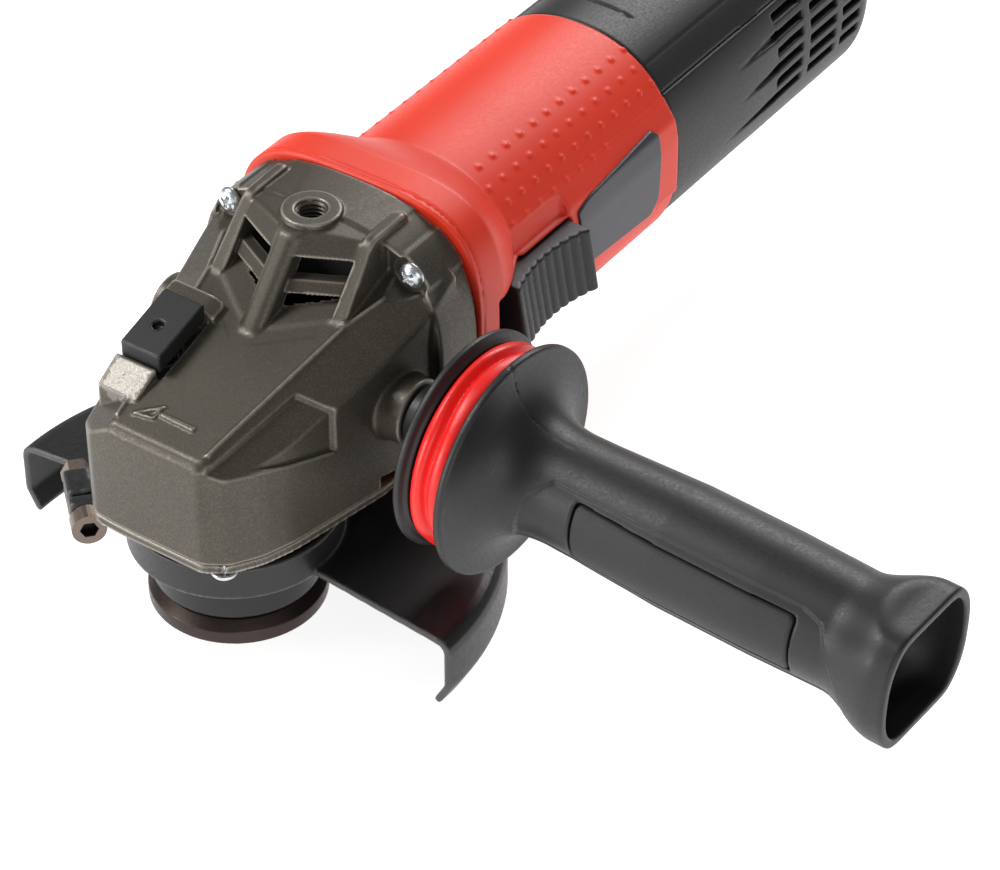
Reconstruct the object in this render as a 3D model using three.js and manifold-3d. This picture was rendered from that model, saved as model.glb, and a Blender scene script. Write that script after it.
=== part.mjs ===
// Angle grinder for 125 mm discs, with its gear head, guard, motor, slide switch and side handle.
// Millimetres, +Z up. The origin is the centre of the spindle's free end. The spindle turns about Z,
// the motor lies along +Y behind it, and the side handle stands out along +X.
import * as THREE from "three";
import { ConvexGeometry } from "three/addons/geometries/ConvexGeometry.js";
import { mergeVertices } from "three/addons/utils/BufferGeometryUtils.js";
import Module from "manifold-3d";

const wasm = await Module();
wasm.setup();

// ---------------------------------------------------------------- driving dimensions
const GAP = 0.3; // room between parts that only touch
const MOTOR_Z = 67; // height of the motor axis above the spindle's end
const PLATE_Z = 41; // underside of the bearing flange
const HEAD_Z = 44; // underside of the gear housing
const SEAM_Y = 56; // gear housing meets motor housing
const COVER_Y = 161; // motor housing meets rear cover
const REAR_Y = 277; // back of the rear cover
const COVER_SPLIT_Z = 88; // the rear cover's lid is parted here

const NOSE_Y = -31; // front face of the gear housing
const TOP_Z = 76; // its top edge there
const TOP_SLOPE = 0.294; // rise of the sloping top per millimetre of Y
const PLATEAU_Z = 107.5; // level top behind the vents
const FIN_X = 20; // the two fins beside the vents
const HANDLE_Y = 26; // the side handle's threaded bosses

const GUARD_R = 72;
const GUARD_Z = 26; // top of the guard's outer plate
const RIM_Z = 10.5; // bottom of the rim, where its lip turns in
const GUARD_EDGE_Y = -3.5;
const COLLAR_R = 29;
const COLLAR_Z = 30.4;
const SHEET = 2; // guard steel

const FLANGE = { a: 40, up: 42.5, down: 35, n: 3 }; // outline where the two housings meet
const BARREL = { a: 34.2, up: 35, down: 33.8, n: 2.2 };
const TAIL = { a: 32.6, up: 33.2, down: 32.4, n: 2.5 };
const WALL = 2.8; // plastic wall

const CROWN_TEETH = 37;
const PINION_TEETH = 11;
const CROWN_R = 22; // pitch radius at the teeth's outer end
const TOOTH_FACE = 0.7; // inner end of the teeth as a share of the cone distance

const STATOR_R = 28.5;
const ROTOR_R = 17.8;
const STATOR_Y = 84;
const STATOR_END_Y = 134;
const BRUSH_Y = 152;

const MATERIALS = {
  casting: { color: 0x5a544d, roughness: 0.5, metalness: 0.6 },
  red: { color: 0xe8382a, roughness: 0.55, metalness: 0 },
  black: { color: 0x2b2b2d, roughness: 0.6, metalness: 0 },
  rubber: { color: 0x39373a, roughness: 0.8, metalness: 0 },
  damper: { color: 0xf5201f, roughness: 0.5, metalness: 0 },
  guardSteel: { color: 0x1b1a1c, roughness: 0.35, metalness: 0.3 },
  darkSteel: { color: 0x3b3330, roughness: 0.45, metalness: 0.8 },
  steel: { color: 0xb9bcbf, roughness: 0.3, metalness: 0.9 },
  zinc: { color: 0xcfd4d6, roughness: 0.25, metalness: 0.9 },
  copper: { color: 0xb4622f, roughness: 0.4, metalness: 0.8 },
  iron: { color: 0x6d7074, roughness: 0.5, metalness: 0.7 },
  brass: { color: 0xc39a4a, roughness: 0.35, metalness: 0.9 },
  carbon: { color: 0x242424, roughness: 0.9, metalness: 0 },
  label: { color: 0x4a4850, roughness: 0.4, metalness: 0 },
};
for (const [name, m] of Object.entries(MATERIALS)) {
  MATERIALS[name] = new THREE.MeshStandardMaterial(m);
}

// ---------------------------------------------------------------- helpers
const V3 = (x, y, z) => new THREE.Vector3(x, y, z);
const V2 = (x, y) => new THREE.Vector2(x, y);
const range = (n) => [...Array(n).keys()];
const deg = THREE.MathUtils.degToRad;

function solid(geometry) {
  const bare = geometry.index ? geometry.toNonIndexed() : geometry.clone();
  for (const key of Object.keys(bare.attributes)) {
    if (key !== "position") bare.deleteAttribute(key);
  }
  const merged = mergeVertices(bare, 1e-4);
  return new wasm.Manifold(
    new wasm.Mesh({
      numProp: 3,
      vertProperties: merged.attributes.position.array,
      triVerts: new Uint32Array(merged.index.array),
    }),
  );
}
const join = (...parts) => parts.reduce((a, b) => a.add(b));
const cut = (from, ...tools) => tools.reduce((a, b) => a.subtract(b), from);

const root = new THREE.Group();
function put(name, material, body, parent = root) {
  const { numProp, vertProperties, triVerts } = body.simplify(0.01).getMesh();
  const xyz = new Float32Array((vertProperties.length / numProp) * 3);
  for (let i = 0; i < xyz.length / 3; i++) {
    xyz.set(vertProperties.subarray(i * numProp, i * numProp + 3), i * 3);
  }
  const geometry = new THREE.BufferGeometry();
  geometry.setAttribute("position", new THREE.BufferAttribute(xyz, 3));
  geometry.setIndex(new THREE.BufferAttribute(triVerts, 1));
  geometry.computeVertexNormals();
  const mesh = new THREE.Mesh(geometry, MATERIALS[material]);
  mesh.name = name;
  parent.add(mesh);
  return mesh;
}

const hull = (points) => solid(new ConvexGeometry(points));
function box(x0, x1, y0, y1, z0, z1) {
  const g = new THREE.BoxGeometry(x1 - x0, y1 - y0, z1 - z0);
  return solid(g.translate((x0 + x1) / 2, (y0 + y1) / 2, (z0 + z1) / 2));
}
// A turned body: the profile lists [radius, height], and the axis is X, Y or Z through the given point.
function turned(profile, axis, at = ORIGIN, sides = 28) {
  const g = new THREE.LatheGeometry(
    profile.map(([r, h]) => V2(r, h)),
    sides,
  );
  if (axis === "z") g.rotateX(Math.PI / 2);
  if (axis === "x") g.rotateZ(-Math.PI / 2);
  return solid(g.translate(...at));
}
const rod = (r, from, to, axis, at, sides = 20) =>
  turned([[0, from], [r, from], [r, to], [0, to]], axis, at, sides);
const ring = (r0, r1, from, to, axis, at, sides = 36) =>
  turned([[r0, from], [r1, from], [r1, to], [r0, to], [r0, from]], axis, at, sides);

// An outline extruded: a plan (x, y) along Z, a front outline (x, z) along Y, or a side outline (y, z)
// along X.
function plate(points, from, to, axis = "z", holes = []) {
  const shape = new THREE.Shape(points.map(([a, b]) => V2(a, b)));
  for (const hole of holes) shape.holes.push(new THREE.Path(hole.map(([a, b]) => V2(a, b))));
  const g = new THREE.ExtrudeGeometry(shape, { depth: to - from, bevelEnabled: false });
  if (axis === "z") g.translate(0, 0, from);
  if (axis === "y") g.rotateX(Math.PI / 2).translate(0, to, 0);
  if (axis === "x") {
    g.applyMatrix4(new THREE.Matrix4().makeBasis(V3(0, 1, 0), V3(0, 0, 1), V3(1, 0, 0)));
    g.translate(from, 0, 0);
  }
  return solid(g);
}

// A rounded-square outline about the motor axis, grown or shrunk by an offset.
function outline({ a, up, down, n }, offset, y, count = 28) {
  return range(count).map((i) => {
    const t = ((i + 0.5) / count) * 2 * Math.PI;
    const [c, s] = [Math.cos(t), Math.sin(t)];
    const half = s > 0 ? up : down;
    const x = (a + offset) * Math.sign(c) * Math.abs(c) ** (2 / n);
    const z = (half + offset) * Math.sign(s) * Math.abs(s) ** (2 / n);
    return V3(x, y, MOTOR_Z + z);
  });
}
// A body lofted through [outline, offset, y] stations, each pair hulled.
const loft = (stations) =>
  join(
    ...range(stations.length - 1).map((i) =>
      hull([stations[i], stations[i + 1]].flatMap(([o, offset, y]) => outline(o, offset, y))),
    ),
  );

const ORIGIN = [0, 0, 0];
const MOTOR = [0, 0, MOTOR_Z];
const CORD = [0, 0, MOTOR_Z - 6];
const mirrored = (body) => body.mirror([1, 0, 0]);
const topAt = (y) => TOP_Z + TOP_SLOPE * (y - NOSE_Y);
const TILT = Math.atan(TOP_SLOPE);
// Points of a box that lies on the sloping top: lowest and highest are distances above it.
function onTop(x0, x1, y0, y1, lowest, highest, chamfer = 0) {
  return hull(
    [
      [lowest, 0],
      [highest, chamfer],
    ].flatMap(([h, c]) =>
      [y0 + c, y1 - c].flatMap((y) => [x0, x1].map((x) => V3(x, y, topAt(y) + h))),
    ),
  );
}

// A pan-head screw whose head's underside is at the origin of its group, with its shank along -Z.
function screwBody(shank, length, head, height) {
  const dome = turned(
    [
      [0, 0],
      [head, 0],
      [head, height * 0.35],
      [head * 0.8, height * 0.8],
      [head * 0.45, height],
      [0, height],
    ],
    "z",
    ORIGIN,
    10,
  );
  const cross = [0, 90].map((turn) =>
    box(-head / 2, head / 2, -head * 0.12, head * 0.12, height * 0.45, height + 1).rotate([0, 0, turn]),
  );
  return cut(join(dome, rod(shank, -length, 0.2, "z", ORIGIN, 8)), ...cross);
}

// ---------------------------------------------------------------- gear head
const RIGHT_NOSE = [
  [14, NOSE_Y],
  [20, -27.3],
  [25, -19.5],
  [28.5, -9],
  [32, 4],
  [34, 16],
  [34, 34],
];
const LEFT_NOSE = [
  [-34, 34],
  [-34, 16],
  [-30, 4],
  [-27.5, -14],
  [-25.6, -26],
  [-21, -30.3],
  [-14, NOSE_Y],
];
const noseOutline = [...RIGHT_NOSE, ...LEFT_NOSE];
const FLANGE_SCREWS = [
  [17.2, -25.8],
  [-20.4, -25.8],
  [23, 28],
  [-23, 28],
];
const CORNER_SCREWS = [
  [29.4, 99],
  [-29.4, 99],
  [31, 43],
  [-31, 43],
];
const TOP_HOLE = [0, 37.5, 0]; // the upper handle hole
const SCREW_FACE_Y = 41; // the corner screws' seats
const RIDGE = { x0: 15, y0: -27, x1: 27.4, y1: 34.6 };
const LOCK = { x: -18, y: -3, x0: -24.4, x1: -11.6, y0: -12.4, y1: 6.6, rise: 6 };
const HANDLE_AXIS = { at: [41.5, HANDLE_Y + 1, MOTOR_Z + 1], yaw: deg(-2.06), pitch: deg(1.77) };

function vents() {
  const tools = [];
  for (const side of [-1, 1]) {
    const xs = [4.6 * side, 17.6 * side];
    const [x0, x1] = [Math.min(...xs), Math.max(...xs)];
    // Two slots, parted by a level bar, through the sloping face into the air way.
    tools.push(box(x0, x1, 12, 44, 92.5, 97.5), box(x0, x1, 20, 44, 100.5, 104.8));
  }
  return tools;
}

function gearHousing() {
  // A flat top slopes down to the front between two ridges, and falls away to each side beyond them.
  const nose = hull([
    ...noseOutline.map(([x, y]) => V3(x, y, HEAD_Z)),
    V3(-25.2, -26, 74.5),
    V3(-20.6, -30, 75.5),
    V3(20, -27.1, 75),
    V3(25, -19, 76),
    ...[-1, 1].flatMap((s) => [
      V3(14.5 * s, NOSE_Y, TOP_Z),
      V3(RIDGE.x0 * s, RIDGE.y0, topAt(RIDGE.y0)),
      V3(RIDGE.x1 * s, RIDGE.y1, topAt(RIDGE.y1)),
      V3(31.2 * s, 4.3, 82),
      V3(36.8 * s, 38.8, 88.8),
      V3(37.5 * s, 40, 66),
    ]),
  ]);
  const rearRing = hull([...outline(FLANGE, -0.6, SEAM_Y), ...outline(FLANGE, -0.6, 44)]);
  const neck = cut(
    hull([
      ...outline({ ...FLANGE, a: 37, up: 29 }, 0, 45),
      ...[-1, 1].flatMap((s) => [V3(33 * s, 22, 48), V3(33 * s, 22, 82)]),
    ]),
    box(-40, 40, 0, 34 + GAP, 20, HEAD_Z),
  );
  const plateau = hull([
    ...[-1, 1].flatMap((s) => [
      V3(FIN_X * s, 20, 90),
      V3(FIN_X * s, 33.5, PLATEAU_Z - 1),
      V3(FIN_X * s, SEAM_Y, PLATEAU_Z - 0.5),
      V3(FIN_X * s, 20, 80),
      V3(FIN_X * s, SEAM_Y, 80),
    ]),
    V3(0, 30.5, PLATEAU_Z + 1),
    V3(0, SEAM_Y, PLATEAU_Z + 1.4),
  ]);
  const rib = hull(
    [-1, 1].flatMap((s) => [
      V3(3.4 * s, 8, 87),
      V3(1.6 * s, 8.3, 89.4),
      V3(2 * s, 28, PLATEAU_Z + 1),
      V3(6 * s, 32, PLATEAU_Z),
      V3(4.2 * s, 24, 88),
    ]),
  );
  const fin = plate(
    [
      [19.5, 88],
      [20.2, 91.5],
      [34, PLATEAU_Z + 1.8],
      [50.5, PLATEAU_Z + 1.6],
      [53.5, PLATEAU_Z],
      [53.5, 90],
    ],
    FIN_X - 1.4,
    FIN_X + 1.4,
    "x",
  );
  const topBoss = turned([[0, 98], [8.4, 98], [8.1, 110.1], [0, 110.1]], "z", TOP_HOLE, 32);
  const sideBoss = rod(11, 26, 41.4, "x", [0, HANDLE_Y + 1, MOTOR_Z + 1], 32);
  const lockBoss = onTop(-27.6, -9.6, -21, 13, -6, 3, 3);
  const ears = CORNER_SCREWS.map(([x, z]) => rod(5.8, SCREW_FACE_Y - 1, SEAM_Y - GAP, "y", [x, 0, z]));
  let body = join(nose, rearRing, neck, plateau, rib, fin, mirrored(fin), topBoss, lockBoss);
  body = join(body, sideBoss, mirrored(sideBoss), ...ears);

  // Raised ridges along the top's two edges, and the arrow that shows which way the spindle turns.
  for (const s of [-1, 1]) {
    const ridge = hull(
      [
        [RIDGE.x0, RIDGE.y0],
        [RIDGE.x1, RIDGE.y1],
      ].flatMap(([x, y]) =>
        [-0.9, 0.9].flatMap((w) => [V3(x * s + w, y, topAt(y) - 2), V3(x * s + w / 3, y, topAt(y) + 0.6)]),
      ),
    );
    body = join(body, ridge);
  }
  const arrowHead = [
    [-10.6, -24.6],
    [-4, -20],
    [-4, -25.6],
  ];
  const arrow = join(
    onTop(-5, 6.8, -23.8, -22, -1, 0.5),
    hull(arrowHead.flatMap(([x, y]) => [-1, 0.5].map((h) => V3(x, y, topAt(y) + h)))),
  );
  body = join(body, arrow);

  // Gear chamber, open below; the way for the pinion and its bearing plate, open behind; the air way above.
  const chamberProfile = [[0, HEAD_Z - 1], [24.6, HEAD_Z - 1], [24.6, 66], [22, 68], [0, 68]];
  const chamber = turned(chamberProfile, "z", ORIGIN, 28);
  const pinionWay = join(
    rod(13.6, 8, 45, "y", MOTOR, 30),
    box(-12, 12, -8, 45, 60, 76),
    rod(21, 24, 45, "y", MOTOR, 28),
  );
  const plateSeat = rod(28.4, 44.6, SEAM_Y + 1, "y", MOTOR, 28);
  const airWay = hull([
    ...[-1, 1].flatMap((s) => [V3(17.6 * s, 27, 93), V3(17.6 * s, 34, 103.5), V3(30 * s, SEAM_Y + 1, 84)]),
    ...[-1, 1].flatMap((s) => [V3(20 * s, SEAM_Y + 1, 104), V3(17.6 * s, SEAM_Y + 1, 88)]),
  ]);
  const bushBoss = rod(10.4, 70.6, 80, "z", ORIGIN, 30);
  body = cut(body, chamber, cut(pinionWay, bushBoss), plateSeat, airWay, ...vents());
  body = cut(body, rod(7.7, 60, 79.3, "z", ORIGIN, 30));

  // Threaded holes for the handle on the left, right and top.
  const side = HANDLE_AXIS;
  const bore = turned([[0, -16], [4.1, -16], [4.1, 0.2], [5.2, 1.5], [0, 1.5]], "x", ORIGIN, 24)
    .rotate([0, THREE.MathUtils.radToDeg(side.pitch), THREE.MathUtils.radToDeg(side.yaw)])
    .translate(side.at);
  const topBore = turned([[0, 99], [4, 99], [4, 109.3], [5, 111], [0, 111]], "z", TOP_HOLE, 24);
  body = cut(body, bore, mirrored(bore), topBore);

  // Screw holes: four up into the underside, four through the rear corners with their seats.
  for (const [x, y] of FLANGE_SCREWS) body = cut(body, rod(2.2, 40, 56, "z", [x, y, 0], 12));
  for (const [x, z] of CORNER_SCREWS) {
    const seat = rod(5.4, 20, SCREW_FACE_Y, "y", [x, 0, z], 20);
    body = cut(body, seat, rod(2.3, 30, SEAM_Y + 1, "y", [x, 0, z], 12));
  }

  // The spindle lock's pocket, spring well and pin hole.
  const pocket = onTop(LOCK.x0 - 0.5, LOCK.x1 + 0.5, LOCK.y0 - 0.5, LOCK.y1 + 0.5, -3.2, 10);
  const well = rod(4.6, 70, 90, "z", [LOCK.x, LOCK.y, 0], 20);
  return cut(body, pocket, well, rod(2.8, 60, 90, "z", [LOCK.x, LOCK.y, 0], 16));
}
put("gear_housing", "casting", gearHousing());

function bearingFlange() {
  const top = plate(noseOutline, PLATE_Z, HEAD_Z - 0.1);
  const neckProfile = [
    [0, 16.3], [21.9, 16.3], [22.9, 17.3], [22.9, 27], [26.4, 28],
    [26.4, PLATE_Z + 0.5], [0, PLATE_Z + 0.5],
  ];
  const neck = turned(neckProfile, "z", ORIGIN, 32);
  const boreProfile = [
    [0, 15], [11, 15], [11, 29.8], [16.1, 29.8], [16.1, 40.1], [20.5, 40.1], [20.5, 45], [0, 45],
  ];
  const bores = turned(boreProfile, "z", ORIGIN, 28);
  const screwHoles = FLANGE_SCREWS.map(([x, y]) => rod(2.3, 40, 46, "z", [x, y, 0], 12));
  return cut(join(top, neck), bores, ...screwHoles);
}
put("bearing_flange", "casting", bearingFlange());

FLANGE_SCREWS.forEach(([x, y], i) => {
  const screw = put(`flange_screw_${i + 1}`, "zinc", screwBody(1.9, 14, 3.4, 2.3));
  screw.rotation.x = Math.PI;
  screw.position.set(x, y, PLATE_Z - 0.1);
});
CORNER_SCREWS.forEach(([x, z], i) => {
  const screw = put(`housing_screw_${i + 1}`, "zinc", screwBody(2, 30, 3.9, 2.6));
  screw.rotation.x = Math.PI / 2;
  screw.position.set(x, SCREW_FACE_Y - 0.1, z);
});

// ---------------------------------------------------------------- spindle and bevel gears
// The teeth of a bevel gear. Each is a hull: a trapezoid at the outer end and the same one, scaled
// towards the cone's apex, at the inner end. The cone's axis is Z and its apex is the origin.
function bevelGear(teeth, half, cone, backlash) {
  const module = (2 * cone * Math.sin(half)) / teeth;
  const [addendum, dedendum] = [0.85 * module, 1.3 * module];
  const thick = (backlash * Math.PI * module) / 2;
  const section = (scale, height, width, turn) => {
    const r = (cone * Math.sin(half) + height * Math.cos(half)) * scale;
    const z = (cone * Math.cos(half) - height * Math.sin(half)) * scale;
    return [-1, 1].map((s) => {
      const a = turn + (s * width * scale) / 2 / r;
      return V3(r * Math.cos(a), r * Math.sin(a), z);
    });
  };
  return range(teeth).map((i) => {
    const turn = (2 * Math.PI * i) / teeth;
    return hull(
      [1, TOOTH_FACE].flatMap((scale) => [
        ...section(scale, addendum, thick * 0.5, turn),
        ...section(scale, -dedendum * 1.2, thick * 1.55, turn),
      ]),
    );
  });
}
const CONE_HALF = Math.atan(PINION_TEETH / CROWN_TEETH); // the pinion's
const CONE = CROWN_R / Math.cos(CONE_HALF);
const MODULE = (2 * CROWN_R) / CROWN_TEETH;
const TOOTH_SHARE = 0.8;

function crownGear() {
  // Its apex is up at the motor axis, so the teeth are made about the origin and turned over.
  const half = Math.PI / 2 - CONE_HALF;
  const toothed = join(...bevelGear(CROWN_TEETH, half, CONE, TOOTH_SHARE))
    .rotate([180, 0, 0])
    .rotate([0, 0, 90 + 180 / CROWN_TEETH])
    .translate(MOTOR);
  const rootAt = (r) => MOTOR_Z - r * Math.tan(CONE_HALF) - 1.3 * MODULE;
  const profile = [
    [6.05, 45], [10.5, 45], [10.5, 50.5], [22.3, 53], [22.6, rootAt(22.6)],
    [14.5, rootAt(14.5)], [6.05, rootAt(14.5)], [6.05, 45],
  ];
  return join(turned(profile, "z", ORIGIN, 32), toothed);
}
put("crown_gear", "steel", crownGear());

function pinion() {
  const toothed = join(...bevelGear(PINION_TEETH, CONE_HALF, CONE, TOOTH_SHARE))
    .rotate([-90, 0, 0])
    .rotate([0, 90, 0]);
  const rootR = (y) => y * Math.tan(CONE_HALF) - 1.3 * MODULE;
  const profile = [[0, 14.8], [rootR(15.3), 14.8], [rootR(22), 22], [6.2, 25], [6.2, 30], [0, 30]];
  const core = turned(profile, "y", ORIGIN, 24);
  return cut(join(core, toothed), rod(3.55, 0, 40, "y", ORIGIN, 24)).translate(MOTOR);
}
put("pinion", "steel", pinion());

function spindle() {
  const profile = [
    [0, 0], [6.2, 0], [7, 1], [7, 15.4], [9.6, 15.4], [9.6, 29.7],
    [6, 29.7], [6, 58], [4, 59], [4, 79], [0, 79],
  ];
  return cut(turned(profile, "z", ORIGIN, 32), box(-1, 1, 6.2, 9, 0.5, 8.6));
}
put("spindle", "steel", spindle());

// A ball bearing as one sealed ring, with the shields' grooves on both faces.
function bearing(bore, outer, width, axis, at) {
  const [a, b] = [bore + (outer - bore) * 0.28, bore + (outer - bore) * 0.72];
  const g = 0.6;
  const profile = [
    [bore, 0], [a, 0], [a, g], [b, g], [b, 0], [outer, 0], [outer, width], [b, width],
    [b, width - g], [a, width - g], [a, width], [bore, width], [bore, 0],
  ];
  return turned(profile, axis, at, 20);
}
put("spindle_bearing", "steel", bearing(6.1, 16, 10, "z", [0, 0, 30]));
put("bearing_retainer", "steel", ring(11.2, 20.3, 40.3, 42.3, "z"));
put("needle_bearing", "steel", ring(4.1, 7.5, 70.9, 79, "z", ORIGIN, 24));

// The disc bears on a narrow land round the flange's edge; inside it the face is relieved.
function innerFlange() {
  const profile = [
    [7.1, 9], [20.6, 9], [20.6, 8.6], [24.2, 8.6], [24.2, 12.4],
    [21.6, 15.2], [7.1, 15.2], [7.1, 9],
  ];
  return turned(profile, "z", ORIGIN, 40);
}
put("inner_flange", "darkSteel", innerFlange());

function lockNut() {
  const profile = [[7.1, 2.6], [11, 2.6], [12, 4], [19, 4], [20, 5], [20, 8.3], [7.1, 8.3], [7.1, 2.6]];
  const keyHoles = [0, 90, 180, 270].map((turn) =>
    rod(2.5, 0, 7, "z", [15, 0, 0], 12).rotate([0, 0, turn]),
  );
  return cut(turned(profile, "z", ORIGIN, 30), ...keyHoles);
}
put("lock_nut", "darkSteel", lockNut());

// ---------------------------------------------------------------- spindle lock
const PIN_TOP = topAt(LOCK.y) + 3;
const PIN_TIP = 67.6;
function lockButton() {
  const slab = onTop(LOCK.x0, LOCK.x1, LOCK.y0, LOCK.y1, 1, LOCK.rise, 0.4);
  const dimple = rod(1.5, 0, 20, "z", [LOCK.x - 0.5, LOCK.y - 1, topAt(LOCK.y) + LOCK.rise - 2], 14);
  const pinSocket = rod(2.8, 0, PIN_TOP + GAP, "z", [LOCK.x, LOCK.y, 0], 16);
  return cut(slab, dimple, pinSocket);
}
put("lock_button", "black", lockButton());
put("lock_pin", "steel", rod(2.5, PIN_TIP, PIN_TOP, "z", [LOCK.x, LOCK.y, 0], 16));

// A compression spring along its own Z, from 0 to its length.
function spring(radius, wire, length, turns) {
  const coil = new THREE.CatmullRomCurve3(
    range(turns * 6 + 1).map((i) => {
      const t = i / (turns * 6);
      const a = t * turns * 2 * Math.PI;
      return V3(radius * Math.cos(a), radius * Math.sin(a), wire + t * (length - 2 * wire));
    }),
  );
  const corners = range(5).map((i) => V2(wire * Math.cos(deg(72 * i)), wire * Math.sin(deg(72 * i))));
  const options = { steps: turns * 8, bevelEnabled: false, extrudePath: coil };
  return solid(new THREE.ExtrudeGeometry(new THREE.Shape(corners), options));
}
put("lock_spring", "steel", spring(3.6, 0.4, 13.2, 5)).position.set(LOCK.x, LOCK.y, 70.2);

// ---------------------------------------------------------------- guard
const CLAMP_TURN = 228; // degrees round to the clamp's screw
const CLAMP = { r: 38.2, z: 31.6, head: -3.9, split: -13.9, end: -25 };
function guard() {
  const t = SHEET;
  const lip = [GUARD_R - 3.2, RIM_Z - 6.6];
  const shell = turned(
    [
      [COLLAR_R - t, COLLAR_Z - t],
      [GUARD_R - 3.4, GUARD_Z - t],
      [GUARD_R - t, GUARD_Z - t - 1.6],
      [GUARD_R - t, RIM_Z + 0.4],
      [lip[0] - t * 0.9, lip[1] + t * 0.4],
      lip,
      [GUARD_R, RIM_Z],
      [GUARD_R, GUARD_Z - 2.2],
      [GUARD_R - 2, GUARD_Z],
      [COLLAR_R, COLLAR_Z],
      [COLLAR_R - t, COLLAR_Z],
      [COLLAR_R - t, COLLAR_Z - t],
    ],
    "z",
    ORIGIN,
    56,
  );
  const ahead = box(-90, 90, -90, GUARD_EDGE_Y, 0, 60);
  const collar = ring(COLLAR_R - t, COLLAR_R, COLLAR_Z - t, 38.2, "z", ORIGIN, 30);
  // The collar is a band split at the clamp, whose two lugs take the screw.
  const { r, z, head, split, end } = CLAMP;
  const frontLug = box(27, r + 4.3, split + 0.4, head - 5.2, z - 4, z + 4.8);
  const rearLug = join(
    box(r - 3.6, r + 4.3, end, split - 0.4, z - 4, z + 4.8),
    box(24, r, -18.5, split - 0.4, z - 3.2, z + 4.8),
  );
  const spread = (body) => body.rotate([0, 0, CLAMP_TURN]);
  const lugs = cut(join(frontLug, rearLug), rod(COLLAR_R - 1, 0, 60, "z"));
  const slit = box(22, COLLAR_R + 3, split - 0.5, split + 0.5, 20, 60);
  const screwHole = rod(2.8, -40, 0, "y", [r, 0, z], 16);
  return cut(join(cut(shell, ahead), cut(join(collar, spread(lugs)), spread(slit))), spread(screwHole));
}
put("guard", "guardSteel", guard());

const clamp = new THREE.Group();
clamp.rotation.z = deg(CLAMP_TURN);
root.add(clamp);
const hexagon = (r, [a, b] = [0, 0]) =>
  range(6).map((i) => [a + r * Math.cos(deg(60 * i)), b + r * Math.sin(deg(60 * i))]);
function clampScrew() {
  const { r, z, head, end } = CLAMP;
  const at = [r, 0, z];
  const bare = join(rod(4.7, head - 4.9, head, "y", at, 28), rod(2.5, end - 5, head - 4.8, "y", at));
  return cut(bare, plate(hexagon(2.6, [r, z]), head - 3, head + 2, "y"));
}
put("guard_clamp_screw", "darkSteel", clampScrew(), clamp);
const nut = plate(hexagon(4.3, [CLAMP.r, CLAMP.z]), CLAMP.end - 4.4, CLAMP.end - GAP, "y");
put("guard_clamp_nut", "darkSteel", cut(nut, rod(2.7, -40, 0, "y", [CLAMP.r, 0, CLAMP.z])), clamp);

// ---------------------------------------------------------------- motor housing and what it holds
const SWITCH = { y0: 72.5, y1: 107, z0: 60.5, z1: 79.5, travel: 6.5, x0: 30.3 };
// The flat panel along each side of the motor housing, thickened by an amount, between two values of Y.
function sidePanel(grow, from, to) {
  const profile = [
    [20, 56],
    [30 + grow, 57],
    [34.3 + grow, 59],
    [34.3 + grow, 76],
    [33.1 + grow, 82],
    [29.5 + grow, 89],
    [20, 89],
  ];
  return plate(profile, from, to, "y");
}
function motorHousing() {
  const barrel = loft([
    [FLANGE, 0, SEAM_Y + 0.2],
    [FLANGE, 0, 68],
    [BARREL, 0.4, 88],
    [BARREL, 0, COVER_Y],
  ]);
  const inner = join(
    hull([...outline(FLANGE, -4.2, SEAM_Y - 1), ...outline(FLANGE, -4.2, 66)]),
    hull([...outline(FLANGE, -4.2, 66), ...outline(BARREL, -WALL, 86)]),
    hull([...outline(BARREL, -WALL, 86), ...outline(BARREL, -WALL, COVER_Y + 1)]),
  );
  const panel = sidePanel(0, 84, COVER_Y);
  const outer = join(barrel, panel, mirrored(panel));
  const wall = cut(outer, inner);
  // Ribs that carry the field core, and posts that take the corner screws.
  const ribs = [40, 140, 220, 320].map((turn) =>
    box(STATOR_R + GAP, 34, STATOR_Y + 2, STATOR_END_Y, -1.5, 1.5)
      .rotate([0, turn, 0])
      .translate(MOTOR),
  );
  const posts = CORNER_SCREWS.map(([x, z]) => rod(4.6, SEAM_Y + 0.2, 73, "y", [x * 1.02, 0, z], 16));
  let body = join(wall, ...ribs.map((r) => r.intersect(outer)), ...posts.map((p) => p.intersect(outer)));
  for (const [x, z] of CORNER_SCREWS) body = cut(body, rod(2.2, 50, 72, "y", [x, 0, z], 12));
  // The slide's window in the right side, in a shallow recess that its knob runs in.
  const { y0, y1, z0, z1, travel } = SWITCH;
  return cut(body, box(24, 50, y0 - travel - 1, y1 + 0.8, z0 - 0.6, z1 + 0.6));
}
put("motor_housing", "red", motorHousing());

// The badge is a thin plate that follows the right-hand panel.
function badge() {
  const corners = [
    [109, 60.5],
    [146, 60.5],
    [150, 66],
    [150, 83],
    [146, 85.5],
    [108, 78],
  ];
  return cut(sidePanel(0.8, 105, 155).intersect(plate(corners, 25, 40, "x")), sidePanel(GAP, 100, 160));
}
put("badge", "label", badge());

function frontBearingPlate() {
  const profile = [
    [12, 45], [28, 45], [28, 55.6], [25.6, 55.6], [25.6, 48], [16.4, 48],
    [16.4, 54.4], [13.1, 54.4], [13.1, 46.2], [12, 46.2], [12, 45],
  ];
  return turned(profile, "y", MOTOR, 28);
}
put("front_bearing_plate", "iron", frontBearingPlate());
put("front_bearing", "steel", bearing(5.1, 13, 8, "y", [0, 46.3, MOTOR_Z]));

function armatureShaft() {
  const profile = [
    [0, 15], [3.5, 15], [3.5, 44], [5, 45.5], [5, 142],
    [4, 143], [4, 166], [3.5, 167], [3.5, 176], [0, 176],
  ];
  return turned(profile, "y", MOTOR, 20);
}
put("armature_shaft", "steel", armatureShaft());

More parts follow.
